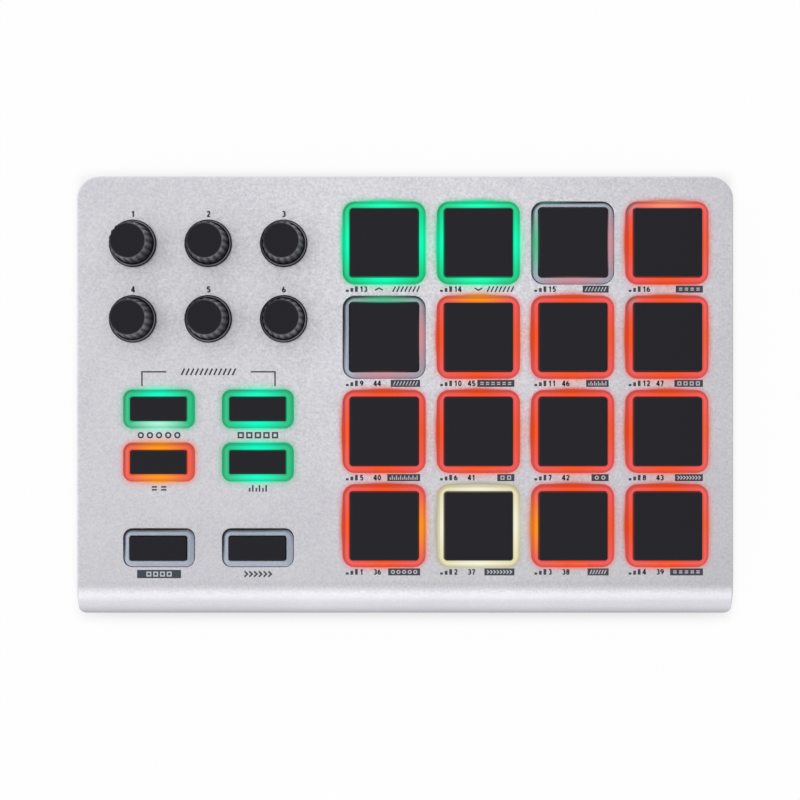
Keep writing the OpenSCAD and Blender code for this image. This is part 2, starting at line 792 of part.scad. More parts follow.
// Round part of a shaft with one flat, as big as play makes it.
module flatted_round(play, h) {
    difference() {
        cylinder(r = shaft_r + play, h = h);
        translate([-shaft_d, shaft_flat - shaft_r + play, -cut]) cube([2 * shaft_d, shaft_d, h + 2 * cut]);
    }
}

module knob(i) {
    skirt_r = knob_d / 2;
    color(black_plastic)
    at(knob_place(i), knob_z)
    difference() {
        rotate_extrude()
            polygon([
                [0, 0], [skirt_r, 0], [skirt_r, skirt_edge_h], [skirt_r - skirt_bevel, step_z],
                [grip_d / 2, step_z], [grip_d / 2, skirt_h], [grip_top_d / 2, knob_h - face_bevel_h],
                [knob_face_d / 2, knob_h], [0, knob_h]
            ]);
        for (k = [0 : flutes - 1])
            rotate(k * 360 / flutes)
                translate([grip_d / 2 + flute_d / 2 - flute_depth, 0, skirt_h])
                    rotate([0, -grip_slope, 0]) cylinder(d = flute_d, h = knob_h);
        translate([0, 0, -cut]) cylinder(r = nut_recess_r, h = nut_recess_h + cut);
        flatted_round(knob_play, knob_bore_l);
    }
}

module encoder_shaft(i) {
    color(steel)
    at(knob_place(i)) {
        translate([0, 0, collar_z]) cylinder(r = collar_r, h = collar_t);
        translate([0, 0, collar_z]) cylinder(r = shaft_r, h = flat_z - collar_z);
        translate([0, 0, flat_z]) flatted_round(0, shaft_top - flat_z);
    }
}

// Encoders

module encoder_bodies() {
    color([0.16, 0.2, 0.24])
    for (i = [1 : knob_count])
        at(knob_place(i), board_top)
            difference() {
                translate([0, 0, encoder_h / 2]) cube([encoder_w, encoder_d, encoder_h], center = true);
                translate([0, 0, collar_z - pass_gap - board_top]) cylinder(r = well_r, h = encoder_h);
            }
}

module encoder_bushings() {
    color(brass)
    for (i = [1 : knob_count])
        at(knob_place(i), bushing_z)
            difference() {
                union() {
                    translate([0, 0, bushing_plate_t / 2])
                        cube([encoder_w, encoder_d, bushing_plate_t], center = true);
                    cylinder(r = bushing_r, h = bushing_top - bushing_z);
                }
                translate([0, 0, -cut])
                    cylinder(r = shaft_r + shaft_play, h = bushing_top - bushing_z + 2 * cut);
            }
}

module encoder_washers() {
    color(steel)
    for (i = [1 : knob_count])
        at(knob_place(i), body_h)
            difference() {
                cylinder(d = washer_d, h = washer_t);
                translate([0, 0, -cut]) cylinder(r = bushing_r + screw_gap, h = washer_t + 2 * cut);
            }
}

module encoder_nuts() {
    color(steel)
    for (i = [1 : knob_count])
        at(knob_place(i), body_h + washer_t)
            difference() {
                cylinder(d = nut_af / cos(30), h = nut_t, $fn = 6);
                translate([0, 0, -cut]) cylinder(r = bushing_r + screw_gap, h = nut_t + 2 * cut);
            }
}

// Rear board and sockets

module io_board() {
    color(board_green)
    difference() {
        translate([io_x - io_w / 2, io_y - io_d / 2, io_under]) cube([io_w, io_d, board_t]);
        for (p = io_screw_places)
            at(p, io_under - cut) cylinder(d = board_shank_d + 2 * pass_gap, h = board_t + 2 * cut);
    }
}

module io_board_screws() {
    color(steel)
    for (p = io_screw_places)
        at(p, io_top + board_head_h)
            mirror([0, 0, 1]) screw(board_head_d, board_head_h, board_shank_d, io_shank_l);
}

module usb_socket() {
    color(steel)
    translate([usb_x, usb_mouth, usb_z])
        rotate([90, 0, 0])
            difference() {
                linear_extrude(usb_l) stadium(usb_w, usb_h);
                translate([0, 0, -cut])
                    linear_extrude(usb_l + cut - 2 * usb_t) stadium(usb_w - 2 * usb_t, usb_h - 2 * usb_t);
            }
}

module usb_tongue() {
    color(black_plastic)
    translate([usb_x - tongue_w / 2, usb_mouth - usb_l + 2 * usb_t, usb_z - tongue_t / 2])
        cube([tongue_w, tongue_l, tongue_t]);
}

module midi_jacks() {
    color([0.1, 0.1, 0.11])
    for (x = jack_xs)
        difference() {
            union() {
                translate([x - jack_w / 2, jack_shoulder - jack_body_l, io_top])
                    cube([jack_w, jack_body_l, jack_h]);
                translate([x, jack_mouth, jack_z])
                    rotate([90, 0, 0]) cylinder(d = jack_nose_d, h = jack_nose_l);
            }
            translate([x, jack_mouth + cut, jack_z])
                rotate([90, 0, 0]) cylinder(d = jack_bore_d, h = jack_depth + cut);
        }
}

module cable_connectors() {
    color([0.9, 0.88, 0.8])
    for (z = [io_top, board_under - connector_h])
        translate([io_x - connector_w / 2, connector_y, z]) cube([connector_w, connector_d, connector_h]);
}

module flat_cable() {
    loop_y = connector_y - ribbon_run;
    color([0.86, 0.87, 0.9])
    translate([io_x, 0, 0])
        rotate([90, 0, 90])
            linear_extrude(ribbon_w, center = true) {
                for (z = [ribbon_low, ribbon_high])
                    translate([loop_y, z - ribbon_t / 2]) square([ribbon_run, ribbon_t]);
                translate([loop_y, ribbon_low + ribbon_r])
                    difference() {
                        circle(ribbon_r + ribbon_t / 2);
                        circle(ribbon_r - ribbon_t / 2);
                        translate([0, -2 * ribbon_r]) square(4 * ribbon_r);
                    }
            }
}

top_cover();
base_tray();
rubber_feet();
case_screws();
main_board();
board_screws();
pad_light_frame();
button_light_frame();
pad_sensors();
button_switches();
encoder_bodies();
encoder_bushings();
encoder_washers();
encoder_nuts();
lighting_leds();
board_chips();
io_board();
io_board_screws();
usb_socket();
usb_tongue();
midi_jacks();
flat_cable();
cable_connectors();
for (i = [1 : pad_count]) pad(i);
for (i = [1 : button_count]) button(i);
for (i = [1 : knob_count]) knob(i);
for (i = [1 : knob_count]) encoder_shaft(i);
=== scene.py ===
"""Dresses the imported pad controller: a silver case, lit rims round black keys, and fluted knobs.

Sizes are millimetres in the part's own frame, and become metres when a mesh is made.
"""

import logging
import math
from collections.abc import Callable, Collection, Mapping, Sequence
from dataclasses import dataclass, field, replace
from enum import Enum

import bmesh
import bpy
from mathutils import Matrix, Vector
from mathutils.geometry import delaunay_2d_cdt

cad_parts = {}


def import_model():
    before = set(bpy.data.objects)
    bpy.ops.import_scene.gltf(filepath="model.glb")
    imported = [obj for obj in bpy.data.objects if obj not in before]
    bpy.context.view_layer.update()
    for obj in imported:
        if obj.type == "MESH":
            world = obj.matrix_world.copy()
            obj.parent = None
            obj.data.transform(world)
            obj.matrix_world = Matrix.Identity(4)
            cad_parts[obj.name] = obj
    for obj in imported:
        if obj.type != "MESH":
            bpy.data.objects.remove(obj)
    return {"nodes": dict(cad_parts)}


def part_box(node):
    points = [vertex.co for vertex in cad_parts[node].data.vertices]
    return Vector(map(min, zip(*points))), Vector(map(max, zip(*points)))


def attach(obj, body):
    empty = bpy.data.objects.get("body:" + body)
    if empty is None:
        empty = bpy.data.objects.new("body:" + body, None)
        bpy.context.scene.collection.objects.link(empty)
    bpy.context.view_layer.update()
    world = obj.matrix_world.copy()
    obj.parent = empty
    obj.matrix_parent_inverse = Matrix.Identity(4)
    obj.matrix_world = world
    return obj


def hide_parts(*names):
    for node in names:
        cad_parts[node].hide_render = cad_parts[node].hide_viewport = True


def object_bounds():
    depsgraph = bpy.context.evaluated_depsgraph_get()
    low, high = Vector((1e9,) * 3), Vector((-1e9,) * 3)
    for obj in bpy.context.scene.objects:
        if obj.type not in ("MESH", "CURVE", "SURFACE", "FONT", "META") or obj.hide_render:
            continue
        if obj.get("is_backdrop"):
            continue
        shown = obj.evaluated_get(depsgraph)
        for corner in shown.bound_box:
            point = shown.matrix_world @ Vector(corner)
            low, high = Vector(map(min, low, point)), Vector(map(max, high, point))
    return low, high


log = logging.getLogger("pad_controller")

MM = 0.001
# Points nearer than this to each other are one point, in metres and in millimetres.
JOINED = 0.001 * MM
SAME_PLACE = 1e-6
CHASSIS = "chassis"

Point = tuple[float, float]
Rgba = tuple[float, float, float, float]
Loop = list[int]
Setting = float | str | bool | Sequence[float]


def linear(code: str) -> tuple[float, float, float]:
    """Turn an sRGB hex colour such as #c8c8ce to linear red, green and blue."""
    channels = [int(code[i : i + 2], 16) / 255 for i in (1, 3, 5)]
    red, green, blue = (c / 12.92 if c <= 0.04045 else ((c + 0.055) / 1.055) ** 2.4 for c in channels)
    return red, green, blue


def smooth(share: float) -> float:
    """Ease a share from 0 to 1, with level ends."""
    held = min(max(share, 0.0), 1.0)
    return held * held * (3 - 2 * held)


def box_mm(node: str) -> tuple[Vector, Vector]:
    """Give the lowest and highest corner of a CAD node in millimetres."""
    low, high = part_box(node)
    return low / MM, high / MM


def centre_mm(node: str) -> Point:
    """Give the middle of a CAD node, seen from above, in millimetres."""
    low, high = box_mm(node)
    return (low.x + high.x) / 2, (low.y + high.y) / 2


# Meshes


ARC_STEPS = 8
SIDE_STEPS = 16
CIRCLE_STEPS = 48


def rounded_outline(half: Point, corner: float, place: Point) -> list[Point]:
    """Give the points round a rectangle with round corners, anticlockwise.

    Args:
        half: Half of its width and of its depth.
        corner: Radius of its corners.
        place: Its middle.

    Returns:
        As many points for any rectangle, so that two outlines can be joined point to point.
    """
    arcs: list[list[Point]] = []
    for quarter, (sx, sy) in enumerate(((1, 1), (-1, 1), (-1, -1), (1, -1))):
        turns = [math.radians(90 * (quarter + step / ARC_STEPS)) for step in range(ARC_STEPS + 1)]
        middle = (place[0] + sx * (half[0] - corner), place[1] + sy * (half[1] - corner))
        arcs.append([(middle[0] + corner * math.cos(t), middle[1] + corner * math.sin(t)) for t in turns])
    points: list[Point] = []
    for arc, following in zip(arcs, arcs[1:] + arcs[:1]):
        (x0, y0), (x1, y1) = arc[-1], following[0]
        shares = [step / SIDE_STEPS for step in range(1, SIDE_STEPS)]
        points += arc + [(x0 + s * (x1 - x0), y0 + s * (y1 - y0)) for s in shares]
    return points


def round_outline(radius: float, place: Point) -> list[Point]:
    """Give the points of a circle, anticlockwise."""
    turns = [2 * math.pi * step / CIRCLE_STEPS for step in range(CIRCLE_STEPS)]
    return [(place[0] + radius * math.cos(t), place[1] + radius * math.sin(t)) for t in turns]


class Shell:
    """A mesh in the making: loops of points, bands between loops, and flat fills."""

    def __init__(self) -> None:
        """Start with no points and no faces."""
        self.points: list[tuple[float, float, float]] = []
        self.glow: list[Rgba] = []
        self.faces: list[Loop] = []

    def loop(
        self,
        outline: Sequence[Point],
        height: float | Callable[[Point], float],
        glow: Callable[[Point], Rgba] | None = None,
    ) -> Loop:
        """Add a loop of points.

        Args:
            outline: Where the points are, seen from above.
            height: Their height, or what gives it for a point.
            glow: What gives a point's own light, if it has any.

        Returns:
            The numbers of the new points.
        """
        start = len(self.points)
        for point in outline:
            z = height(point) if callable(height) else height
            self.points.append((point[0], point[1], z))
            self.glow.append(glow(point) if glow else (0.0, 0.0, 0.0, 0.0))
        return list(range(start, len(self.points)))

    def stack(self, loops: Sequence[Loop]) -> None:
        """Join loops of equal length in order, each to the next, with a band of quads."""
        for first, second in zip(loops, loops[1:]):
            count = len(first)
            for i in range(count):
                j = (i + 1) % count
                self.faces.append([first[i], first[j], second[j], second[i]])

    def cap(self, loop: Loop) -> None:
        """Close a flat loop with one face."""
        self.faces.append(list(loop))

    def fill(self, outer: Loop, holes: Sequence[Loop]) -> None:
        """Fill the flat space inside a loop and outside the holes in it with triangles.

        Args:
            outer: The loop round the space.
            holes: The loops that stay open, each with no hollow side.
        """
        inside_edges = 1
        corners: Loop = []
        owners: list[int] = []
        edges: list[tuple[int, int]] = []
        for owner, rim in enumerate((outer, *holes)):
            start, count = len(corners), len(rim)
            corners += rim
            owners += [owner] * count
            edges += [(start + i, start + (i + 1) % count) for i in range(count)]
        flat = [Vector(self.points[i][:2]) for i in corners]
        found = delaunay_2d_cdt(flat, edges, [], inside_edges, SAME_PLACE)
        for face in found[2]:
            ends = [found[3][i][0] for i in face]
            touched = {owners[end] for end in ends}
            if len(touched) > 1 or touched == {0}:
                self.faces.append([corners[end] for end in ends])

    def slab(self, outline: Sequence[Point], low: float, high: float) -> None:
        """Add a closed plate of any outline between two heights."""
        loops = [self.loop(outline, low), self.loop(outline, high)]
        self.stack(loops)
        for loop in loops:
            self.cap(loop)

    def post(self, place: Point, radius: float, low: float, high: float, bore: Point | None = None) -> None:
        """Add a closed round post, whose top goes into what carries it.

        Args:
            place: Its middle, seen from above.
            radius: Its radius.
            low: Height of its foot.
            high: Height of its top.
            bore: Radius and depth of a blind hole in its foot, if it has one.
        """
        outside = round_outline(radius, place)
        loops = [self.loop(outside, high), self.loop(outside, low)]
        if bore:
            hole = round_outline(bore[0], place)
            loops += [self.loop(hole, low), self.loop(hole, low + bore[1])]
        self.stack(loops)
        self.cap(loops[0])
        self.cap(loops[-1])

    def ribbon(self, path: Sequence[Point], width: float, low: float, high: float) -> None:
        """Add a closed flat band along a path.

        Args:
            path: Points along its middle. A path that ends where it starts makes a ring.
            width: Its width.
            low: Height of its underside.
            high: Height of its top.
        """
        ring = math.dist(path[0], path[-1]) < SAME_PLACE
        sharpest = 0.5
        spots = [Vector(point) for point in (path[:-1] if ring else path)]
        count, left, right = len(spots), [], []
        for i, spot in enumerate(spots):
            into = spot - spots[i - 1] if i or ring else spots[1] - spot
            out = spots[(i + 1) % count] - spot if i + 1 < count or ring else into
            across = (into.normalized() + out.normalized()).normalized().orthogonal()
            reach = width / 2 / max(abs(across.dot(into.normalized().orthogonal())), sharpest)
            left.append(tuple(spot + across * reach))
            right.append(tuple(spot - across * reach))
        rails = [self.loop(side, z) for side, z in ((left, low), (right, low), (right, high), (left, high))]
        for first, second in zip(rails, rails[1:] + rails[:1]):
            for i in range(count if ring else count - 1):
                j = (i + 1) % count
                self.faces.append([first[i], first[j], second[j], second[i]])
        if not ring:
            self.faces += [[rail[end] for rail in rails] for end in (0, -1)]

    def piece(self, name: str, finish: "Finish", body: str, sharp_degrees: float = 40) -> bpy.types.Object:
        """Make the object, dress it and let it ride on a body.

        Args:
            name: The object's name.
            finish: What it is made of.
            body: The CAD body that it moves with.
            sharp_degrees: The angle above which an edge stays sharp.

        Returns:
            The object, in place.
        """
        mesh = bpy.data.meshes.new(name)
        mesh.from_pydata([tuple(c * MM for c in point) for point in self.points], [], self.faces)
        if any(max(light) > 0 for light in self.glow):
            layer = mesh.color_attributes.new(GLOW, "FLOAT_COLOR", "POINT")
            layer.data.foreach_set("color", [channel for light in self.glow for channel in light])
        sculpt = bmesh.new()
        sculpt.from_mesh(mesh)
        bmesh.ops.recalc_face_normals(sculpt, faces=sculpt.faces)
        sculpt.to_mesh(mesh)
        sculpt.free()
        mesh.shade_smooth()
        mesh.set_sharp_from_angle(angle=math.radians(sharp_degrees))
        made = bpy.data.objects.new(name, mesh)
        bpy.context.scene.collection.objects.link(made)
        evened = made.modifiers.new("evened_shading", "WEIGHTED_NORMAL")
        evened.keep_sharp = True
        mesh.materials.append(finish.material())
        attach(made, body)
        log.info("%s: %d faces", name, len(mesh.polygons))
        return made


# Finishes


GLOW = "glow"
# The noise that draws a grain: its layers, how strong the fine ones are, and the range that it mostly keeps.
GRAIN_DETAIL, GRAIN_FINENESS, GRAIN_RANGE = 3.0, 0.6, (0.3, 0.7)
# Slow changes of tone: the noise's layers, and their share beside the grain.
CLOUD_DETAIL, CLOUD_SHARE = 2.0, 0.35
# How far a surface faces up where it starts to count as level, and where it is level.
LEVEL = (0.9, 1.0)
BLACK, WHITE = "#000000", "#ffffff"


def add_node(
    tree: bpy.types.NodeTree,
    kind: str,
    settings: Mapping[str | int, Setting],
    links: Mapping[str | int, bpy.types.NodeSocket] | None = None,
) -> bpy.types.Node:
    """Add a shader node.

    Args:
        tree: The node tree that it joins.
        kind: The node's type.
        settings: Values for its inputs, by name or number, and for its own properties.
        links: Sockets that feed its inputs.

    Returns:
        The node.
    """
    made = tree.nodes.new(kind)
    for key, value in settings.items():
        if isinstance(key, int) or key in made.inputs:
            made.inputs[key].default_value = value
        else:
            setattr(made, key, value)
    for key, socket in (links or {}).items():
        tree.links.new(socket, made.inputs[key])
    return made


@dataclass(frozen=True)
class Finish:
    """One real material, with the grain that its making leaves.

    Attributes:
        name: Its common name and how its surface was made.
        colour: Its main colour.
        fleck: The colour that its grain varies to.
        grain: Size of its grain.
        relief: Height of its grain.
        roughness: Lowest and highest roughness over the grain.
        metallic: 1 for a bare metal.
        ior: Index of refraction. A metal keeps the default.
        specular: Specular level, under 0.5 where a fine texture scatters the gloss.
        glows: Whether the mesh's own light shows on it.
        masked: Colour that takes over where a point's mask is full, if it has one: black under painted glow
            and for painted shade, grey for a painted highlight.
        cloud: Size of slow changes of tone, 0 for none.
        slope_grain: What is left of its grain where the surface isn't level.
    """

    name: str
    colour: str
    fleck: str
    grain: float
    relief: float
    roughness: tuple[float, float]
    metallic: float = 0.0
    ior: float = 1.5
    specular: float = 0.5
    glows: bool = False
    masked: str = ""
    cloud: float = 0.0
    slope_grain: float = 1.0

    def material(self) -> bpy.types.Material:
        """Give the material, made once."""
        return bpy.data.materials.get(self.name) or self._made()

    def _made(self) -> bpy.types.Material:
        """Make the material from its grain.

        Returns:
            The new material.
        """
        material = bpy.data.materials.new(self.name)
        material.use_nodes = True
        tree = material.node_tree
        shader = tree.nodes["Principled BSDF"]
        shader.inputs["Metallic"].default_value = self.metallic
        if not self.metallic:
            shader.inputs["IOR"].default_value = self.ior
            shader.inputs["Specular IOR Level"].default_value = self.specular
        spot = add_node(tree, "ShaderNodeTexCoord", {})
        grain = add_node(
            tree,
            "ShaderNodeTexNoise",
            {"Scale": 1 / (self.grain * MM), "Detail": GRAIN_DETAIL, "Roughness": GRAIN_FINENESS},
            {"Vector": spot.outputs["Object"]},
        )
        height = grain.outputs["Fac"]
        if self.slope_grain < 1:
            surface = add_node(tree, "ShaderNodeNewGeometry", {})
            upward = add_node(tree, "ShaderNodeSeparateXYZ", {}, {0: surface.outputs["Normal"]})
            left = add_node(
                tree,
                "ShaderNodeMapRange",
                {"From Min": LEVEL[0], "From Max": LEVEL[1], "To Min": self.slope_grain},
                {"Value": upward.outputs["Z"]},
            )
            height = add_node(
                tree,
                "ShaderNodeMix",
                {"data_type": "FLOAT", 2: 0.5},
                {0: left.outputs["Result"], 3: height},
            ).outputs[0]
        clear = add_node(
            tree,
            "ShaderNodeMapRange",
            {"From Min": GRAIN_RANGE[0], "From Max": GRAIN_RANGE[1]},
            {"Value": height},
        )
        tone = clear.outputs["Result"]
        if self.cloud:
            slow = add_node(
                tree,
                "ShaderNodeTexNoise",
                {"Scale": 1 / (self.cloud * MM), "Detail": CLOUD_DETAIL},
                {"Vector": spot.outputs["Object"]},
            )
            tone = add_node(
                tree,
                "ShaderNodeMix",
                {"data_type": "FLOAT", 0: CLOUD_SHARE},
                {2: tone, 3: slow.outputs["Fac"]},
            ).outputs[0]
        colour = add_node(
            tree,
            "ShaderNodeMix",
            {"data_type": "RGBA", 6: (*linear(self.colour), 1), 7: (*linear(self.fleck), 1)},
            {0: tone},
        )
        gloss = add_node(
            tree,
            "ShaderNodeMapRange",
            {"To Min": self.roughness[0], "To Max": self.roughness[1]},
            {"Value": clear.outputs["Result"]},
        )
        bump = add_node(
            tree,
            "ShaderNodeBump",
            {"Strength": 1.0, "Distance": self.relief * MM},
            {"Height": height},
        )
        base = colour.outputs[2]
        if self.glows or self.masked:
            light = add_node(tree, "ShaderNodeAttribute", {"attribute_name": GLOW})
        if self.glows:
            tree.links.new(light.outputs["Color"], shader.inputs["Emission Color"])
            shader.inputs["Emission Strength"].default_value = 1.0
        if self.masked:
            covered = add_node(
                tree,
                "ShaderNodeMix",
                {"data_type": "RGBA", 7: (*linear(self.masked), 1)},
                {0: light.outputs["Alpha"], 6: base},
            )
            base = covered.outputs[2]
        tree.links.new(base, shader.inputs["Base Color"])
        tree.links.new(gloss.outputs["Result"], shader.inputs["Roughness"])
        tree.links.new(bump.outputs["Normal"], shader.inputs["Normal"])
        return material


# Anodised aluminium, bead-blasted: a pale satin grey with a fine even sparkle and no lines. The beads leave
# dimples of about 0.1 mm, drawn eight times coarser so that they show. The rolled edge and the walls come
# out smoother than the panel. The rims' light is painted on it as a glow of its own, which takes over from
# the grey close to them, and a painted shade darkens the foot of the rolled edge.
BLASTED_ALUMINIUM = Finish(
    "anodised_aluminium_bead_blasted",
    "#f1f0f5",
    "#cbcad1",
    0.8,
    0.02,
    (0.36, 0.5),
    metallic=1.0,
    glows=True,
    masked=BLACK,
    cloud=22.0,
    slope_grain=0.3,
)
# Polycarbonate with a white pigment, moulded: milky and a little glossy, grey when no light is behind it.
# Its black mask paints shade at the foot of each rim, most at the rear and left.
MILKY_POLYCARBONATE = Finish(
    "polycarbonate_moulded_diffuser",
    "#b7c0ce",
    "#aab4c4",
    1.5,
    0.004,
    (0.35, 0.45),
    ior=1.58,
    specular=0.2,
    glows=True,
    masked=BLACK,
)
# Silicone rubber, moulded in a blasted tool: nearly black, with a dull even bloom. Its edge carries a
# painted glow of the rim's light.
BLACK_SILICONE = Finish(
    "silicone_rubber_moulded",
    "#131219",
    "#18171f",
    0.5,
    0.01,
    (0.55, 0.7),
    ior=1.41,
    specular=0.35,
    glows=True,
)
# ABS, moulded and left satin: bluish black with soft highlights along the flutes. Its pale mask colour is
# a painted highlight on the shoulder and the skirt's bead, strongest on the right, where the light falls.
KNOB_ABS = Finish(
    "abs_moulded_satin",
    "#0e0e17",
    "#14141d",
    0.4,
    0.004,
    (0.6, 0.7),
    ior=1.54,
    specular=0.24,
    masked="#92929a",
)
# ABS, moulded in a spark-eroded tool: black with a fine pebbled texture.
CASE_ABS = Finish("abs_moulded_spark_eroded", "#1a1a1d", "#232327", 0.6, 0.03, (0.45, 0.62), ior=1.54)
# Styrene rubber, moulded: a flat grey-black with no gloss.
FOOT_RUBBER = Finish("rubber_moulded_feet", "#151516", "#1d1d1f", 0.8, 0.03, (0.75, 0.9), ior=1.52)
# Screen-printing ink, cured: a thin dark slate film, flatter than the metal under it.
SLATE_INK = Finish("ink_screen_printed_slate", "#343a45", "#3e444f", 0.3, 0.002, (0.5, 0.6), ior=1.48)
# The same ink in a pale grey, for the marks on the dark plates.
PALE_INK = Finish("ink_screen_printed_pale", "#c9ccd3", "#bfc3ca", 0.3, 0.002, (0.5, 0.6), ior=1.48)
# Carbon steel, zinc plated: bright and slightly clouded.
ZINC_STEEL = Finish("steel_zinc_plated", "#b4b7bb", "#c6c9cc", 1.2, 0.004, (0.25, 0.4), metallic=1.0)
# Free-cutting steel, turned: darker than plated steel, with a fine tool finish.
TURNED_STEEL = Finish("steel_turned_bright", "#9a9da2", "#b0b3b7", 0.3, 0.006, (0.25, 0.38), metallic=1.0)
# Brass, turned: warm yellow with a fine tool finish.
TURNED_BRASS = Finish("brass_turned", "#c9a75a", "#b8964c", 0.3, 0.006, (0.25, 0.38), metallic=1.0)
# Glass epoxy laminate under green solder mask: glossy, with the weave faintly printed through.
GREEN_LAMINATE = Finish("glass_epoxy_solder_mask", "#0f4a2c", "#135635", 1.0, 0.006, (0.25, 0.35), ior=1.55)
# Epoxy and nylon bodies of components, moulded: dull charcoal.
COMPONENT_PLASTIC = Finish(
    "epoxy_moulded_component", "#1c1c1f", "#26262a", 0.4, 0.008, (0.5, 0.6), ior=1.53
)
# Clear epoxy over a pale phosphor: a waxy cream.
LED_RESIN = Finish("epoxy_cast_phosphor", "#efe9cf", "#e6dfc0", 0.4, 0.002, (0.2, 0.3), ior=1.5)
# Polyester film with carbon ink: a brown-black satin skin.
SENSOR_FILM = Finish("polyester_film_carbon_ink", "#3a332a", "#463e33", 0.6, 0.003, (0.35, 0.5), ior=1.6)
# Nylon, moulded in its natural colour: a waxy off-white.
NATURAL_NYLON = Finish("nylon_moulded_natural", "#e2dcc8", "#d8d1bb", 0.8, 0.006, (0.4, 0.5), ior=1.53)
# Polyester film over flat copper strands: pale and glossy.
RIBBON_FILM = Finish("polyester_film_laminated", "#d3d8e0", "#c4cad4", 1.2, 0.004, (0.25, 0.35), ior=1.6)


# Lights behind the keys


class Side(Enum):
    """A side of a key, by the way that it faces."""

    RIGHT = (1, 0)
    REAR = (0, 1)
    LEFT = (-1, 0)
    FRONT = (0, -1)


def facing(x: float, y: float) -> tuple[Side, float]:
    """Find which side of a rim a point is on.

    Args:
        x: The point's place across the rim, from -1 to 1.
        y: Its place from front to rear, from -1 to 1.

    Returns:
        The side, and how near the point is to the side's middle, from 0 to 1.
    """
    side = max(Side, key=lambda s: s.value[0] * x + s.value[1] * y)
    return side, smooth(1 - (abs(y) if side.value[0] else abs(x)))


@dataclass(frozen=True)
class Glow:
    """Light at one place of a rim.

    Attributes:
        colour: Its colour at full strength.
        share: How much of the rim's own colour it drowns, from 0 to 1.
    """

    colour: str
    share: float = 1.0

    def rgba(self) -> Rgba:
        """Give the light's colour, scaled by its share, and the share."""
        red, green, blue = (c * self.share for c in linear(self.colour))
        return red, green, blue, self.share


# How fast the colour of a muted corner goes over to that of the side.
MUTED_FADE = 2.5


@dataclass(frozen=True)
class RimLight:
    """The light of one rim.

    Attributes:
        corner: Its colour at the corners.
        sides: Its colours at the middles of the sides that differ.
        muted: Its colour at the rear left corner, if that differs.
        halo: How much of its painted halo shows on the panel.
        halo_bright: How bright its painted halo is against the rim.
    """

    corner: Glow
    sides: Mapping[Side, Glow] = field(default_factory=dict)
    muted: Glow | None = None
    halo: float = 1.0
    halo_bright: float = 1.0

    def at(self, x: float, y: float) -> Rgba:
        """Mix the light at a point of the rim.

        Args:
            x: The point's place across the rim, from -1 to 1.
            y: Its place from front to rear, from -1 to 1.

        Returns:
            The colour and the share.
        """
        side, nearness = facing(x, y)
        corner, middle = self.corner.rgba(), self.sides.get(side, self.corner).rgba()
        if self.muted and x < 0 < y:
            dulled = smooth(1 - MUTED_FADE * nearness)
            corner = tuple(c + dulled * (m - c) for c, m in zip(corner, self.muted.rgba()))
        red, green, blue, share = (c + nearness * (m - c) for c, m in zip(corner, middle))
        return red, green, blue, share

    def changed(self, **sides: Glow) -> "RimLight":
        """Give the same light with other colours at some sides, named in lower case."""
        others = {Side[name.upper()]: glow for name, glow in sides.items()}
        return replace(self, sides={**self.sides, **others})


ALL_SIDES = tuple(Side)
LONG_SIDES = (Side.REAR, Side.FRONT)
GREEN_CORNER, GREEN_MIDDLE = Glow("#14cb82"), Glow("#00fcb4")
RED_CORNER, RED_MIDDLE, RED_RIGHT = Glow("#f05a56"), Glow("#f85227"), Glow("#ec5632")
ORANGE = Glow("#ff8c12")
DARK = RimLight(Glow(BLACK, 0.0), halo=0.2)
GREEN = RimLight(GREEN_CORNER, dict.fromkeys(ALL_SIDES, GREEN_MIDDLE))
RED = RimLight(RED_CORNER, {**dict.fromkeys(ALL_SIDES, RED_MIDDLE), Side.RIGHT: RED_RIGHT})
RED_MUTED = replace(RED, muted=Glow("#dc6c6a", 0.8))
CREAM = RimLight(Glow("#e6dfb4"), dict.fromkeys(ALL_SIDES, Glow("#f6f2d6")), halo_bright=0.66)
GREEN_KEY = RimLight(Glow("#28c184"), dict.fromkeys(LONG_SIDES, Glow("#00fbc4")))
AMBER_KEY = RimLight(Glow("#f4563a", 0.93), dict.fromkeys(LONG_SIDES, Glow("#ff9404")))
# Painted light on the unlit rims: the spill of their lit neighbours, drawn as the rims' own glow.
GREEN_SPILL, PINK_SPILL = Glow("#3fbd86", 0.8), Glow("#d08c96", 0.8)

PAD_LIGHTS = {
    **dict.fromkeys(range(1, 17), RED),
    1: RED.changed(right=ORANGE),
    2: CREAM,
    3: RED.changed(left=ORANGE),
    9: DARK.changed(rear=GREEN_SPILL, right=PINK_SPILL, front=PINK_SPILL),
    10: RED.changed(rear=ORANGE),
    12: RED_MUTED,
    13: GREEN,
    14: GREEN,
    15: DARK.changed(left=GREEN_SPILL, right=PINK_SPILL, front=PINK_SPILL),
    16: RED_MUTED.changed(rear=Glow("#fb8e70")),
}
BUTTON_LIGHTS = {
    1: GREEN_KEY.changed(front=Glow("#a4f7da")),
    2: GREEN_KEY,
    3: AMBER_KEY,
    4: GREEN_KEY,
    5: DARK,
    6: DARK,
}


# Keys and their rims


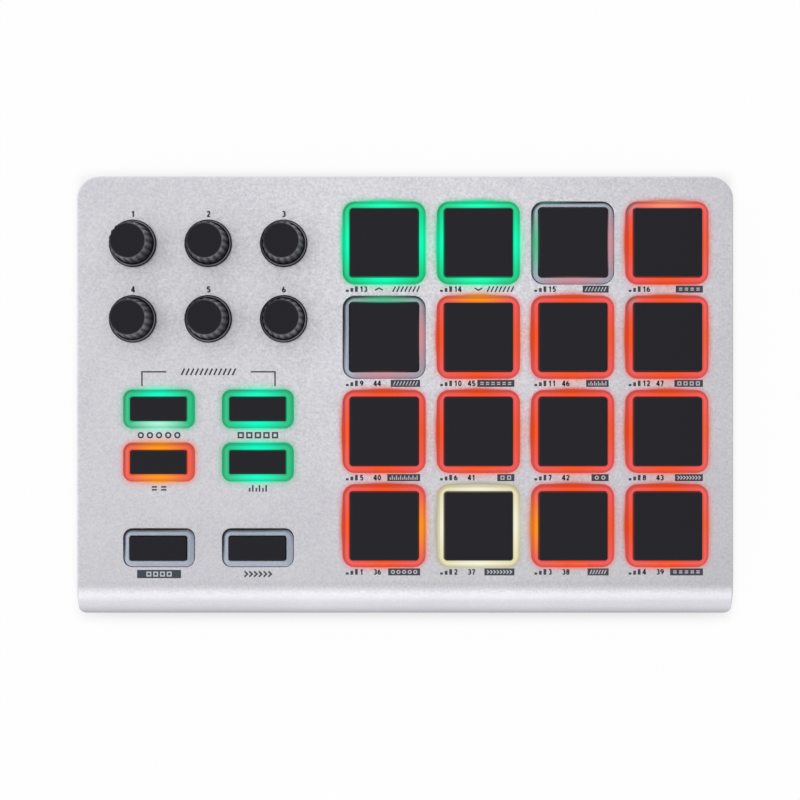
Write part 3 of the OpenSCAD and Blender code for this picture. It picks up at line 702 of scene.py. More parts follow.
@dataclass(frozen=True)
class KeyPlan:
    """A key, the light rim round it and the hole in the panel, seen from above.

    Attributes:
        face: Width and depth of the key's face.
        flange_reach: How far the key's flange stands out past its face.
        corner: Radius of the face's corners.
        rim_width: Width of the rim.
        rim_corner: Outer radius of the rim's corners.
        halo_scale: How much farther than usual the rim's light is painted on the panel.
        halo_lean: How much more or less than usual of it shows at the sides that differ.
        web_light: Share of the painted light on the panel that is left midway between two keys.
        key_gap: Gap between the key and the rim.
        hole_gap: Gap between the rim and the hole.
    """

    face: Point
    flange_reach: float
    corner: float
    rim_width: float
    rim_corner: float
    halo_scale: float = 1.0
    halo_lean: Mapping[Side, float] = field(default_factory=dict)
    web_light: float = 0.0
    key_gap: float = 0.25
    hole_gap: float = 0.3

    @classmethod
    def measured(cls, node: str, flange_reach: float, **sizes: float | Mapping[Side, float]) -> "KeyPlan":
        """Take the face's size from a key's CAD node, whose flange is its widest part.

        Args:
            node: The key's node.
            flange_reach: How far its flange stands out past its face.
            sizes: The plan's other sizes, by name.

        Returns:
            The plan.
        """
        low, high = box_mm(node)
        face = (high.x - low.x - 2 * flange_reach, high.y - low.y - 2 * flange_reach)
        return cls(face, flange_reach, **sizes)

    @property
    def rim_reach(self) -> float:
        """Distance from the face's edge to the rim's outside."""
        return self.key_gap + self.rim_width

    @property
    def hole_reach(self) -> float:
        """Distance from the face's edge to the hole's edge."""
        return self.rim_reach + self.hole_gap

    def half(self, reach: float) -> Point:
        """Half of the face's sides, grown by a reach."""
        return self.face[0] / 2 + reach, self.face[1] / 2 + reach


# Painted shade on the rims: the share of a hole's shade at the middle of its rim, and what it gains to the
# right and the rear.
SHADE_MIDDLE, SHADE_RIGHT, SHADE_REAR = 0.35, -0.38, 0.65


def shaded(x: float, y: float) -> float:
    """Share of the painted shade at a point of the rim: most at the rear and left, away from the light."""
    return smooth(SHADE_MIDDLE + SHADE_RIGHT * x + SHADE_REAR * y)


@dataclass(frozen=True)
class LitKey:
    """One key of the panel.

    Attributes:
        node: Its CAD node.
        plan: Its plan.
        light: The light of its rim.
        bright_shade: What is left of the painted shade where the rim's own light is full.
    """

    node: str
    plan: KeyPlan
    light: RimLight
    bright_shade: float = 0.12

    @property
    def place(self) -> Point:
        """The key's middle, seen from above."""
        return centre_mm(self.node)

    def outline(self, reach: float, corner: float) -> list[Point]:
        """The outline of the key's face, grown by a reach."""
        return rounded_outline(self.plan.half(reach), corner, self.place)

    def glow(self, share: float, shade: float = 0.0) -> Callable[[Point], Rgba]:
        """Give what lights the points of the rim and the key, and the shade painted on them.

        Args:
            share: How much of the rim's light reaches them.
            shade: How dark the painted shade is there.

        Returns:
            A function from a point to its light, and how far light or shade takes over from its own colour.
        """
        place, half = self.place, self.plan.half(self.plan.rim_reach)

        def light(point: Point) -> Rgba:
            """Mix the rim's light and the painted shade at a point."""
            x, y = ((p - q) / h for p, q, h in zip(point, place, half))
            red, green, blue, lit = self.light.at(x, y)
            dark = shade * shaded(x, y) * (1 - lit + lit * self.bright_shade)
            bright = share * (1 - dark)
            return red * bright, green * bright, blue * bright, lit + (1 - lit) * dark

        return light

    def halo(self, share: float, at_corners: float, webs: Collection[Side]) -> Callable[[Point], Rgba]:
        """Give the glow painted on the panel round this key.

        Args:
            share: How far the painted glow takes over from the metal.
            at_corners: What is left of it at the key's corners.
            webs: The sides where another key is next to this one.

        Returns:
            A function from a point of the panel to its painted glow, and how far that takes over.
        """
        place, half = self.place, self.plan.half(self.plan.rim_reach)

        def light(point: Point) -> Rgba:
            """Mix the painted glow at a point of the panel."""
            x, y = ((p - q) / h for p, q, h in zip(point, place, half))
            red, green, blue, lit = self.light.at(x, y)
            side, nearness = facing(x, y)
            left = at_corners + (1 - at_corners) * nearness * (side in self.light.sides)
            leaning = 1 + nearness * (self.plan.halo_lean.get(side, 1.0) - 1)
            least = nearness * self.plan.web_light * (side in webs)
            plain, cover = (min(max(part, least), 1.0) for part in (share * left, share * left * leaning))
            bright = min(plain, cover) * self.light.halo * self.light.halo_bright
            return red * bright, green * bright, blue * bright, lit * cover * self.light.halo

        return light


@dataclass
class SoftKeys:
    """The silicone keys: a soft-edged crowned face over a flange and a plunger.

    Attributes:
        keys: The keys of one kind.
        edge: Radius of a face's edge.
        crown: How far a face's middle stands above its edge.
        flange_low: Height of the flange's underside above the desk.
        flange_high: Height of the flange's top above the desk.
        plunger_radius: Radius of the plunger.
        edge_light: Share of the rim's light that is painted as a glow on the side of a face.
        edge_steps: Number of steps round a face's edge.
        sharpest: What is left of a corner's radius, at least, as its edge turns in.
        crown_shares: Sizes of the loops up a face's crown, as shares of the face's.
    """

    keys: list[LitKey]
    edge: float
    crown: float
    flange_low: float
    flange_high: float
    plunger_radius: float
    edge_light: float = 0.2
    edge_steps: int = 5
    sharpest: float = 0.25
    crown_shares: tuple[float, ...] = (0.94, 0.82, 0.62, 0.38, 0.14)

    def build(self) -> None:
        """Make every key in place of its CAD node."""
        for key in self.keys:
            self._key(key)

    def _key(self, key: LitKey) -> None:
        """Make one key.

        Args:
            key: The key to make.
        """
        plan, place, shell = key.plan, key.place, Shell()
        low, high = box_mm(key.node)
        face_half, reach = plan.half(0), self.plunger_radius
        plunger = [
            (place[0] + reach * math.cos(turn), place[1] + reach * math.sin(turn))
            for turn in (
                math.atan2((y - place[1]) / face_half[1], (x - place[0]) / face_half[0])
                for x, y in key.outline(0, plan.corner)
            )
        ]
        flange = key.outline(plan.flange_reach, plan.corner + plan.flange_reach)
        rim_z = high.z - self.crown - self.edge
        loops = [
            shell.loop(plunger, low.z),
            shell.loop(plunger, self.flange_low),
            shell.loop(flange, self.flange_low),
            shell.loop(flange, self.flange_high),
            shell.loop(key.outline(0, plan.corner), self.flange_high),
        ]
        for step in range(self.edge_steps + 1):
            turn = math.radians(90 * step / self.edge_steps)
            inset = self.edge * (1 - math.cos(turn))
            corner = max(plan.corner - inset, self.sharpest * plan.corner)
            light = key.glow(self.edge_light * (1 - step / self.edge_steps) ** 2)
            loops.append(shell.loop(key.outline(-inset, corner), rim_z + self.edge * math.sin(turn), light))
        shell.cap(loops[0])
        for share in self.crown_shares:
            half = tuple(share * (h - self.edge) for h in face_half)
            outline = rounded_outline(half, share * plan.corner, place)
            loops.append(shell.loop(outline, high.z - self.crown * share**2))
        shell.stack(loops)
        shell.cap(loops[-1])
        made = shell.piece(f"{key.node}_silicone", BLACK_SILICONE, key.node)
        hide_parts(key.node)


@dataclass
class LightFrame:
    """A milky moulding under the panel whose rims come up round the keys.

    Attributes:
        node: The CAD node that it stands for.
        keys: The keys that its rims go round.
        plate: Thickness of the plate.
        plate_top: Height of the plate's top above the desk.
        foot: Height above the desk at which a rim's slope starts.
        crest: Width of the flat crest round a key.
        edge: Radius of a rim's edges.
        lean: How far a rim's foot lies off its key's middle, to the right and the rear.
        wall_light: How bright a rim's outer wall is at the plate and under its slope.
        wall_shade: How dark the painted shade is on that wall.
        slope_light: Shares of the way up a rim's slope, with the rim's brightness and its painted shade
            there.
        bore_light: How bright a rim's inner edge and inner wall are.
        leg_radius: Radius of a leg.
        hole_radius: Radius of the holes that let the cover's posts through.
        edge_steps: Number of steps round a rim's inner edge.
    """

    node: str
    keys: list[LitKey]
    plate: float = 1.5
    plate_top: float = 28.0
    foot: float = 30.3
    crest: float = 0.5
    edge: float = 0.2
    lean: Point = (0.14, -0.14)
    wall_light: Point = (0.7, 0.66)
    wall_shade: float = 0.85
    slope_light: tuple[tuple[float, float, float], ...] = (
        (0.06, 0.7, 0.85),
        (0.28, 0.8, 0.7),
        (0.48, 0.9, 0.2),
        (0.68, 0.97, 0.0),
        (0.88, 1.0, 0.0),
    )
    bore_light: Point = (0.9, 0.5)
    leg_radius: float = 1.2
    hole_radius: float = 2.5
    edge_steps: int = 3

    def build(self, posts: Sequence[Point], legs: Sequence[Point]) -> None:
        """Make the moulding in place of its CAD node.

        Args:
            posts: Where the cover's posts pass through its plate.
            legs: Where its legs stand.
        """
        shell = Shell()
        low, high = box_mm(self.node)
        under = self.plate_top - self.plate
        corners = [(low.x, low.y), (high.x, low.y), (high.x, high.y), (low.x, high.y)]
        top, bottom = shell.loop(corners, self.plate_top), shell.loop(corners, under)
        shell.stack([top, bottom])
        top_holes, bottom_holes = [], []
        for key in self.keys:
            loops = self._rim(shell, key, high.z)
            top_holes.append(loops[0])
            bottom_holes.append(loops[-1])
        for post in posts:
            hole = round_outline(self.hole_radius, post)
            loops = [shell.loop(hole, self.plate_top), shell.loop(hole, under)]
            shell.stack(loops)
            top_holes.append(loops[0])
            bottom_holes.append(loops[1])
        for leg in legs:
            shell.post(leg, self.leg_radius, low.z, under + self.plate / 2)
        shell.fill(top, top_holes)
        shell.fill(bottom, bottom_holes)
        made = shell.piece(f"{self.node}_moulding", MILKY_POLYCARBONATE, CHASSIS)
        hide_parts(self.node)

    def _rim(self, shell: Shell, key: LitKey, rim_top: float) -> list[Loop]:
        """Add the rim round one key.

        Args:
            shell: The mesh that it joins.
            key: The key.
            rim_top: Height of the rim's crest.

        Returns:
            The rim's loops, from the plate's top outside it to the plate's underside inside it.
        """
        plan = key.plan
        outer, inner = plan.rim_reach, plan.key_gap
        inner_corner = plan.corner + plan.key_gap
        run, rise = plan.rim_width - self.crest, rim_top - self.foot
        wall = (self.plate_top, self.foot - self.edge / 2)
        steps = [(outer, height, bright, self.wall_shade) for height, bright in zip(wall, self.wall_light)]
        steps += [
            (outer - share * run, self.foot + share * rise, bright, shade)
            for share, bright, shade in self.slope_light
        ]
        steps += [(inner + self.crest - self.edge / 2, rim_top, 1.0, 0.0)]
        loops = []
        for reach, height, bright, shade in steps:
            out = (reach - inner) / plan.rim_width
            outline = [
                (x + out * self.lean[0], y + out * self.lean[1])
                for x, y in key.outline(reach, plan.rim_corner - (outer - reach))
            ]
            loops.append(shell.loop(outline, height, key.glow(bright, shade)))
        for step in range(self.edge_steps, -1, -1):
            turn = math.radians(90 * step / self.edge_steps)
            inset, drop = self.edge * (1 - math.cos(turn)), self.edge * (1 - math.sin(turn))
            outline = key.outline(inner + inset, inner_corner + inset)
            loops.append(shell.loop(outline, rim_top - drop, key.glow(self.bore_light[0])))
        bore = key.outline(inner, inner_corner)
        loops.append(shell.loop(bore, self.plate_top - self.plate, key.glow(self.bore_light[1])))
        shell.stack(loops)
        return loops


# Case


@dataclass
class TopCover:
    """The silver shell: a flat panel with its holes, the walls, and a front edge that rolls down.

    Attributes:
        rear_corner: Radius of the rear corners from above.
        front_corner: Radius of the front corners from above.
        roll: Radius of the rolled front edge.
        wall: Thickness of the shell.
        edge: Radius of the shell's outer edges.
        hole_edge: Radius of the holes' edges.
        halo: How far the painted glow shows on the panel past a hole, and how far it takes over from the
            metal there.
        halo_corner: What is left of the painted glow at a hole's corners.
        foot_shade: How far down the roll the painted shade starts, and its share at the roll's foot.
        post_radius: Radius of the posts that carry the main board.
        post_bore: Radius and depth of a post's screw hole.
        boss_radius: Radius of the bosses that take the case's screws.
        boss_bore: Radius and depth of a boss's screw hole.
        shaft_hole: Radius of the holes for the encoders' bushings.
        least_corner: Smallest radius of a corner that is drawn in.
        corner_steps: Number of steps round a corner.
        roll_steps: Number of steps down the roll, past the corners.
        edge_steps: Number of steps round an edge.
    """

    rear_corner: float = 8.0
    front_corner: float = 2.6
    roll: float = 12.5
    wall: float = 2.0
    edge: float = 0.6
    hole_edge: float = 0.25
    halo: tuple[Point, ...] = (
        (2.05, 0.0),
        (1.6, 0.12),
        (1.15, 0.25),
        (0.75, 0.42),
        (0.45, 0.62),
        (0.25, 0.82),
    )
    halo_corner: float = 0.55
    foot_shade: Point = (8.0, 0.58)
    post_radius: float = 2.2
    post_bore: Point = (1.1, 5.0)
    boss_radius: float = 2.75
    boss_bore: Point = (1.6, 11.5)
    shaft_hole: float = 3.8
    least_corner: float = 0.3
    corner_steps: int = 8
    roll_steps: int = 10
    edge_steps: int = 5

    def build(
        self,
        keys: Sequence[LitKey],
        knobs: Sequence[Point],
        posts: Sequence[Point],
        bosses: Sequence[Point],
    ) -> None:
        """Make the shell in place of its CAD node.

        Args:
            keys: The keys that come up through it.
            knobs: The middles of the knobs.
            posts: The middles of the posts that carry the main board.
            bosses: The middles of the bosses that take the case's screws.
        """
        shell = Shell()
        low, high = box_mm("top_cover")
        self.half = (high.x, high.y)
        self.top = high.z
        inner_roll = self.roll - self.wall
        under = self.top - self.wall
        ceiling = shell.loop(self._outline(self.wall, inner_roll), lambda p: self._height(p[1], inner_roll))
        loops = [
            ceiling,
            shell.loop(self._outline(self.wall, inner_roll), low.z),
            shell.loop(self._outline(self.edge / 2, self.roll), low.z),
            shell.loop(self._outline(0, self.roll), low.z + self.edge / 2),
        ]
        for step in range(self.edge_steps + 1):
            turn = math.radians(90 * step / self.edge_steps)
            inset, drop = self.edge * (1 - math.cos(turn)), self.edge * (1 - math.sin(turn))
            outline = self._outline(inset, self.roll)
            # The lowest rows of the roll carry a painted shade.
            loops.append(
                shell.loop(outline, lambda p, drop=drop: self._height(p[1], self.roll) - drop, self._shade)
            )
        shell.stack(loops)
        top_holes, under_holes = [], []
        for key in keys:
            collar = self._key_hole(shell, key, self._webs(key, keys), under)
            top_holes.append(collar[0])
            under_holes.append(collar[-1])
        for place in knobs:
            hole = round_outline(self.shaft_hole, place)
            collar = [shell.loop(hole, self.top), shell.loop(hole, under)]
            shell.stack(collar)
            top_holes.append(collar[0])
            under_holes.append(collar[1])
        board_top = box_mm("main_board")[1].z
        for place in posts:
            shell.post(place, self.post_radius, board_top, under + self.wall / 2, self.post_bore)
        for place in bosses:
            shell.post(place, self.boss_radius, low.z, under + self.wall / 2, self.boss_bore)
        shell.fill(self._rolled(shell, loops[-1]), top_holes)
        shell.fill(self._rolled(shell, ceiling), under_holes)
        made = shell.piece("top_cover_shell", BLASTED_ALUMINIUM, CHASSIS)
        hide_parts("top_cover")

    def _roll_line(self) -> float:
        """Where the flat panel ends and the front roll starts."""
        return self.roll - self.half[1]

    def _height(self, y: float, radius: float) -> float:
        """Height of the panel, or of the roll with the radius given, at a distance from the middle."""
        past = max(self._roll_line() - y, 0.0)
        return self.top - self.roll + math.sqrt(max(radius**2 - past**2, 0.0))

    def _shade(self, point: Point) -> Rgba:
        """Give the painted shade that darkens a point of the roll, by its distance down it."""
        start, most = self.foot_shade
        past = max(self._roll_line() - point[1] - start, 0.0) / (self.roll - start)
        return 0.0, 0.0, 0.0, most * past**2

    def _outline(self, inset: float, roll: float) -> list[Point]:
        """Give the shell's outline from above, drawn in on every side.

        Args:
            inset: How far it is drawn in.
            roll: Radius of the roll that its front rows follow.

        Returns:
            Its points, anticlockwise from the front right, the same left and right.
        """
        width, depth = self.half[0] - inset, self.half[1] - inset
        front = max(self.front_corner - inset, self.least_corner)
        rear = max(self.rear_corner - inset, self.least_corner)
        quarter = [math.radians(90 * step / self.corner_steps) for step in range(self.corner_steps + 1)]
        right = [
            (width - front + front * math.sin(t), front - depth - front * math.cos(t)) for t in quarter
        ]
        line = self._roll_line()
        widest = math.asin((line - right[-1][1]) / roll)
        for step in range(1, self.roll_steps + 1):
            turn = widest * (1 - step / self.roll_steps)
            right.append((width, line - roll * math.sin(turn)))
        right += [(width - rear + rear * math.cos(t), depth - rear + rear * math.sin(t)) for t in quarter]
        return right + [(-x, y) for x, y in reversed(right)]

    def _rolled(self, shell: Shell, loop: Loop) -> Loop:
        """Face the roll in rows from side to side.

        Args:
            shell: The mesh that it joins.
            loop: The loop round the roll and the flat panel.

        Returns:
            The part of the loop that goes round the flat panel.
        """
        rows = self.corner_steps + self.roll_steps
        for row in range(rows):
            shell.faces.append([loop[row], loop[row + 1], loop[-2 - row], loop[-1 - row]])
        return loop[rows : len(loop) - rows]

    def _webs(self, key: LitKey, keys: Sequence[LitKey]) -> set[Side]:
        """Find the sides of a key where another key of its kind is next to it.

        Args:
            key: The key.
            keys: All the keys.

        Returns:
            The sides.
        """
        near, in_line = 1.5 * max(key.plan.face), 0.1
        ways = [Vector(other.place) - Vector(key.place) for other in keys if other.plan is key.plan]
        return {
            side
            for side in Side
            for way in ways
            if 0 < way.length < near and way.length - way.dot(Vector(side.value)) < in_line
        }

    def _key_hole(self, shell: Shell, key: LitKey, webs: Collection[Side], under: float) -> list[Loop]:
        """Add the panel round one key's hole, with the glow painted on it, and the hole's wall.

        Args:
            shell: The mesh that it joins.
            key: The key.
            webs: The sides where another key is next to it.
            under: Height of the panel's underside.

        Returns:
            The loops from the outside of the painted glow to the hole's lower edge.
        """
        plan = key.plan
        reach, corner = plan.hole_reach, plan.rim_corner + plan.hole_gap
        collar = []
        for usual, share in self.halo:
            far = max(plan.halo_scale * usual, self.hole_edge)
            light = key.halo(share, self.halo_corner, webs)
            collar.append(shell.loop(key.outline(reach + far, corner + far), self.top, light))
        edge_light = key.halo(self.halo[-1][1], self.halo_corner, webs)
        for step in range(1, self.edge_steps + 1):
            turn = math.radians(90 * step / self.edge_steps)
            far, drop = self.hole_edge * (1 - math.sin(turn)), self.hole_edge * (1 - math.cos(turn))
            outline = key.outline(reach + far, corner + far)
            collar.append(shell.loop(outline, self.top - drop, edge_light))
        collar.append(shell.loop(key.outline(reach, corner), under, edge_light))
        shell.stack(collar)
        return collar


@dataclass
class RubberFeet:
    """Four moulded feet with a soft edge and a hollow in the middle.

    Attributes:
        inset: Distance of a foot's middle from the feet's outermost edge.
        profile: Radius and height of each turn of a foot, from its top to the hollow.
    """

    inset: float = 6.0
    profile: tuple[Point, ...] = (
        (6.0, 3.0),
        (6.0, 0.9),
        (5.9, 0.5),
        (5.65, 0.2),
        (5.3, 0.03),
        (5.0, 0.0),
        (4.0, 0.0),
        (3.8, 0.05),
        (3.5, 0.5),
    )

    def build(self) -> None:
        """Make the feet in place of their CAD node."""
        shell = Shell()
        for place in corners_within("rubber_feet", self.inset):
            loops = [shell.loop(round_outline(radius, place), height) for radius, height in self.profile]
            shell.stack(loops)
            shell.cap(loops[0])
            shell.cap(loops[-1])
        made = shell.piece("rubber_feet_moulded", FOOT_RUBBER, CHASSIS)
        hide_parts("rubber_feet")


# Knobs


@dataclass
class Knobs:
    """The fluted knobs with a stepped skirt.

    Attributes:
        count: Number of knobs.
        flutes: Number of flutes round a grip.
        flute_depth: Depth of a flute.
        flute_steps: Number of steps across a flute and a ridge.
        most_worn: The direction in which the painted highlight on the edges is strongest, in degrees from
            the right.
        worn_side: Share of the painted highlight a quarter turn from there, and what it gains towards it.
        least_wear: What is left of the painted highlight on the far side.
        patches: How much of the painted highlight its patches leave out.
        patch_waves: Number of patches round a knob, in each of two waves.
        spared: How much of the painted highlight the bottoms of the flutes are spared.
        profile: Radius, height, share of the flutes' depth and painted highlight of each turn, from the bore
            to the face.
    """

    count: int = 6
    flutes: int = 18
    flute_depth: float = 0.4
    flute_steps: int = 12
    most_worn: float = -25.0
    worn_side: Point = (0.8, 0.7)
    least_wear: float = 0.1
    patches: float = 0.4
    patch_waves: tuple[int, int] = (5, 3)
    spared: float = 0.6
    profile: tuple[tuple[float, float, float, float], ...] = (
        (3.05, 13.0, 0.0, 0.0),
        (3.05, 2.1, 0.0, 0.0),
        (6.1, 2.1, 0.0, 0.0),
        (6.1, 0.0, 0.0, 0.0),
        (8.15, 0.0, 0.0, 0.0),
        (8.28, 0.1, 0.0, 0.0),
        (8.3, 0.25, 0.0, 0.0),
        (8.3, 1.0, 0.0, 0.0),
        (8.26, 1.14, 0.0, 0.0),
        (8.14, 1.2, 0.0, 0.0),
        (7.98, 1.2, 0.0, 0.0),
        (7.9, 1.24, 0.0, 0.5),
        (7.82, 1.42, 0.0, 1.0),
        (7.7, 1.52, 0.0, 1.0),
        (7.56, 1.5, 0.0, 1.0),
        (7.46, 1.36, 0.0, 0.3),
        (7.4, 1.1, 0.0, 0.0),
        (7.3, 0.8, 0.0, 0.0),
        (7.16, 0.8, 0.0, 0.0),
        (7.16, 1.9, 0.0, 0.0),
        (7.16, 2.4, 0.5, 0.0),
        (7.12, 3.0, 1.0, 0.0),
        (6.98, 6.5, 1.0, 0.1),
        (6.88, 9.0, 1.0, 0.3),
        (6.78, 11.0, 1.0, 0.5),
        (6.66, 13.0, 1.0, 0.7),
        (6.6, 13.9, 1.0, 0.75),
        (6.54, 14.3, 0.9, 0.8),
        (6.42, 14.65, 0.7, 0.85),
        (6.25, 14.87, 0.45, 0.85),
        (6.08, 14.97, 0.2, 0.7),
        (5.9, 15.0, 0.05, 0.25),
        (5.7, 15.0, 0.0, 0.0),
        (5.4, 14.98, 0.0, 0.0),
        (3.2, 14.93, 0.0, 0.0),
    )

    def places(self) -> list[Point]:
        """The middles of the knobs, seen from above."""
        return [centre_mm(f"knob_{number}") for number in range(1, self.count + 1)]

    def build(self) -> None:
        """Make every knob in place of its CAD node."""
        for number, place in enumerate(self.places(), 1):
            node = f"knob_{number}"
            shell, foot = Shell(), box_mm(node)[0].z
            loops = [
                shell.loop(
                    self._ring(radius, share, place), foot + height, self._wear(number, place, share, sheen_most)
                )
                for radius, height, share, sheen_most in self.profile
            ]
            shell.stack(loops)
            shell.cap(loops[0])
            shell.cap(loops[-1])
            made = shell.piece(f"{node}_grip", KNOB_ABS, node, sharp_degrees=60)
            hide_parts(node)

    def _hollow(self, turn: float) -> float:
        """How far down a flute a point is, by its angle: 0 on a ridge, 1 at the bottom."""
        return (0.5 + 0.5 * math.cos(turn * self.flutes)) ** 1.5

    def _wear(self, number: int, place: Point, share: float, most: float) -> Callable[[Point], Rgba]:
        """Give what masks the painted highlight on the points of a turn.

        Args:
            number: The knob's number, which sets where its painted highlight is patchy.
            place: The knob's middle.
            share: How much of the flutes' depth the turn has, which spares their bottoms the painted
                highlight.
            most: The painted highlight where the turn has most of it.

        Returns:
            A function from a point to its mask of painted highlight, with no glow of its own.
        """

        def mask(point: Point) -> Rgba:
            """Mask a point's painted highlight by the side of the knob that it is on."""
            turn = math.atan2(point[1] - place[1], point[0] - place[0])
            beside, gain = self.worn_side
            side = smooth(beside + gain * math.cos(turn - math.radians(self.most_worn)))
            first, second = self.patch_waves
            waves = math.sin(first * turn + 2 * number) * math.cos(second * turn - number)
            patchy = 1 - self.patches * (0.5 + 0.5 * waves)
            spared = min(2 * share, 1.0) * self.spared * self._hollow(turn)
            sheen = most * (self.least_wear + (1 - self.least_wear) * side)
            return 0.0, 0.0, 0.0, sheen * patchy * (1 - spared)

        return mask

    def _ring(self, radius: float, share: float, place: Point) -> list[Point]:
        """Give one turn of the knob's surface.

        Args:
            radius: Its radius on the ridges.
            share: How much of the flutes' depth it has.
            place: The knob's middle.

        Returns:
            Its points.
        """
        ring = []
        steps = self.flutes * self.flute_steps
        for step in range(steps):
            turn = 2 * math.pi * step / steps
            reach = radius - share * self.flute_depth * self._hollow(turn)
            ring.append((place[0] + reach * math.cos(turn), place[1] + reach * math.sin(turn)))
        return ring


# Printing on the panel


def arc(middle: Point, radii: Point, start: float, end: float) -> list[Point]:
    """Give points along an ellipse.

    Args:
        middle: Its middle.
        radii: Its half width and half height.
        start: The angle of the first point, in degrees.
        end: The angle of the last point.

    Returns:
        The points.
    """
    steps = 16
    turns = [math.radians(start + (end - start) * step / steps) for step in range(steps + 1)]
    return [(middle[0] + radii[0] * math.cos(t), middle[1] + radii[1] * math.sin(t)) for t in turns]


# The strokes of each digit, a unit high, about the middle of its foot.
SIX = [arc((0, 0.315), (0.21, 0.21), 0, 360), arc((0.2, 0.315), (0.41, 0.58), 180, 106)]
DIGITS: Mapping[str, Sequence[Sequence[Point]]] = {
    "0": [arc((0, 0.5), (0.21, 0.395), 0, 360)],
    "1": [[(0.05, 0), (0.05, 1)], [(0.06, 0.88), (-0.17, 0.7)]],
    "2": [[*arc((0, 0.69), (0.2, 0.205), 165, -35), (-0.15, 0.12)], [(-0.25, 0.105), (0.25, 0.105)]],
    "3": [arc((-0.02, 0.7), (0.19, 0.195), 145, -90), arc((-0.02, 0.3), (0.22, 0.195), 90, -145)],
    "4": [[(0.1, 0), (0.1, 1)], [(0.07, 0.93), (-0.24, 0.33)], [(-0.3, 0.29), (0.3, 0.29)]],
    "5": [
        [(0.22, 0.895), (-0.2, 0.895)],
        [(-0.13, 0.92), (-0.165, 0.48)],
        arc((0, 0.335), (0.21, 0.235), 140, -140),
    ],
    "6": SIX,
    "7": [[(-0.24, 0.895), (0.24, 0.895)], [(0.18, 0.88), (-0.07, 0)]],
    "8": [arc((0, 0.71), (0.175, 0.185), 0, 360), arc((0, 0.3), (0.21, 0.2), 0, 360)],
    "9": [[(-x, 1 - y) for x, y in stroke] for stroke in SIX],
}


class Mark(Enum):
    """A plain sign for the legends: its strokes, a unit high and wide, about its middle."""

    SQUARES = (((-0.36, -0.36), (0.36, -0.36), (0.36, 0.36), (-0.36, 0.36), (-0.36, -0.36)),)
    RINGS = (tuple(arc((0, 0), (0.37, 0.37), 0, 360)),)
    CHEVRONS = (((-0.22, -0.42), (0.22, 0), (-0.22, 0.42)),)
    SLANTS = (((-0.24, -0.5), (0.24, 0.5)),)
    PAIRS = (((-0.4, 0.22), (0.4, 0.22)), ((-0.4, -0.22), (0.4, -0.22)))
    POSTS = (((-0.24, -0.5), (-0.24, 0.05)), ((0.24, -0.5), (0.24, 0.5)))


# Distance from sign to sign in a row, as a share of their height.
SIGN_PITCH = {
    Mark.SQUARES: 1.35,
    Mark.RINGS: 1.35,
    Mark.CHEVRONS: 0.75,
    Mark.SLANTS: 0.72,
    Mark.PAIRS: 1.25,
    Mark.POSTS: 0.98,
}


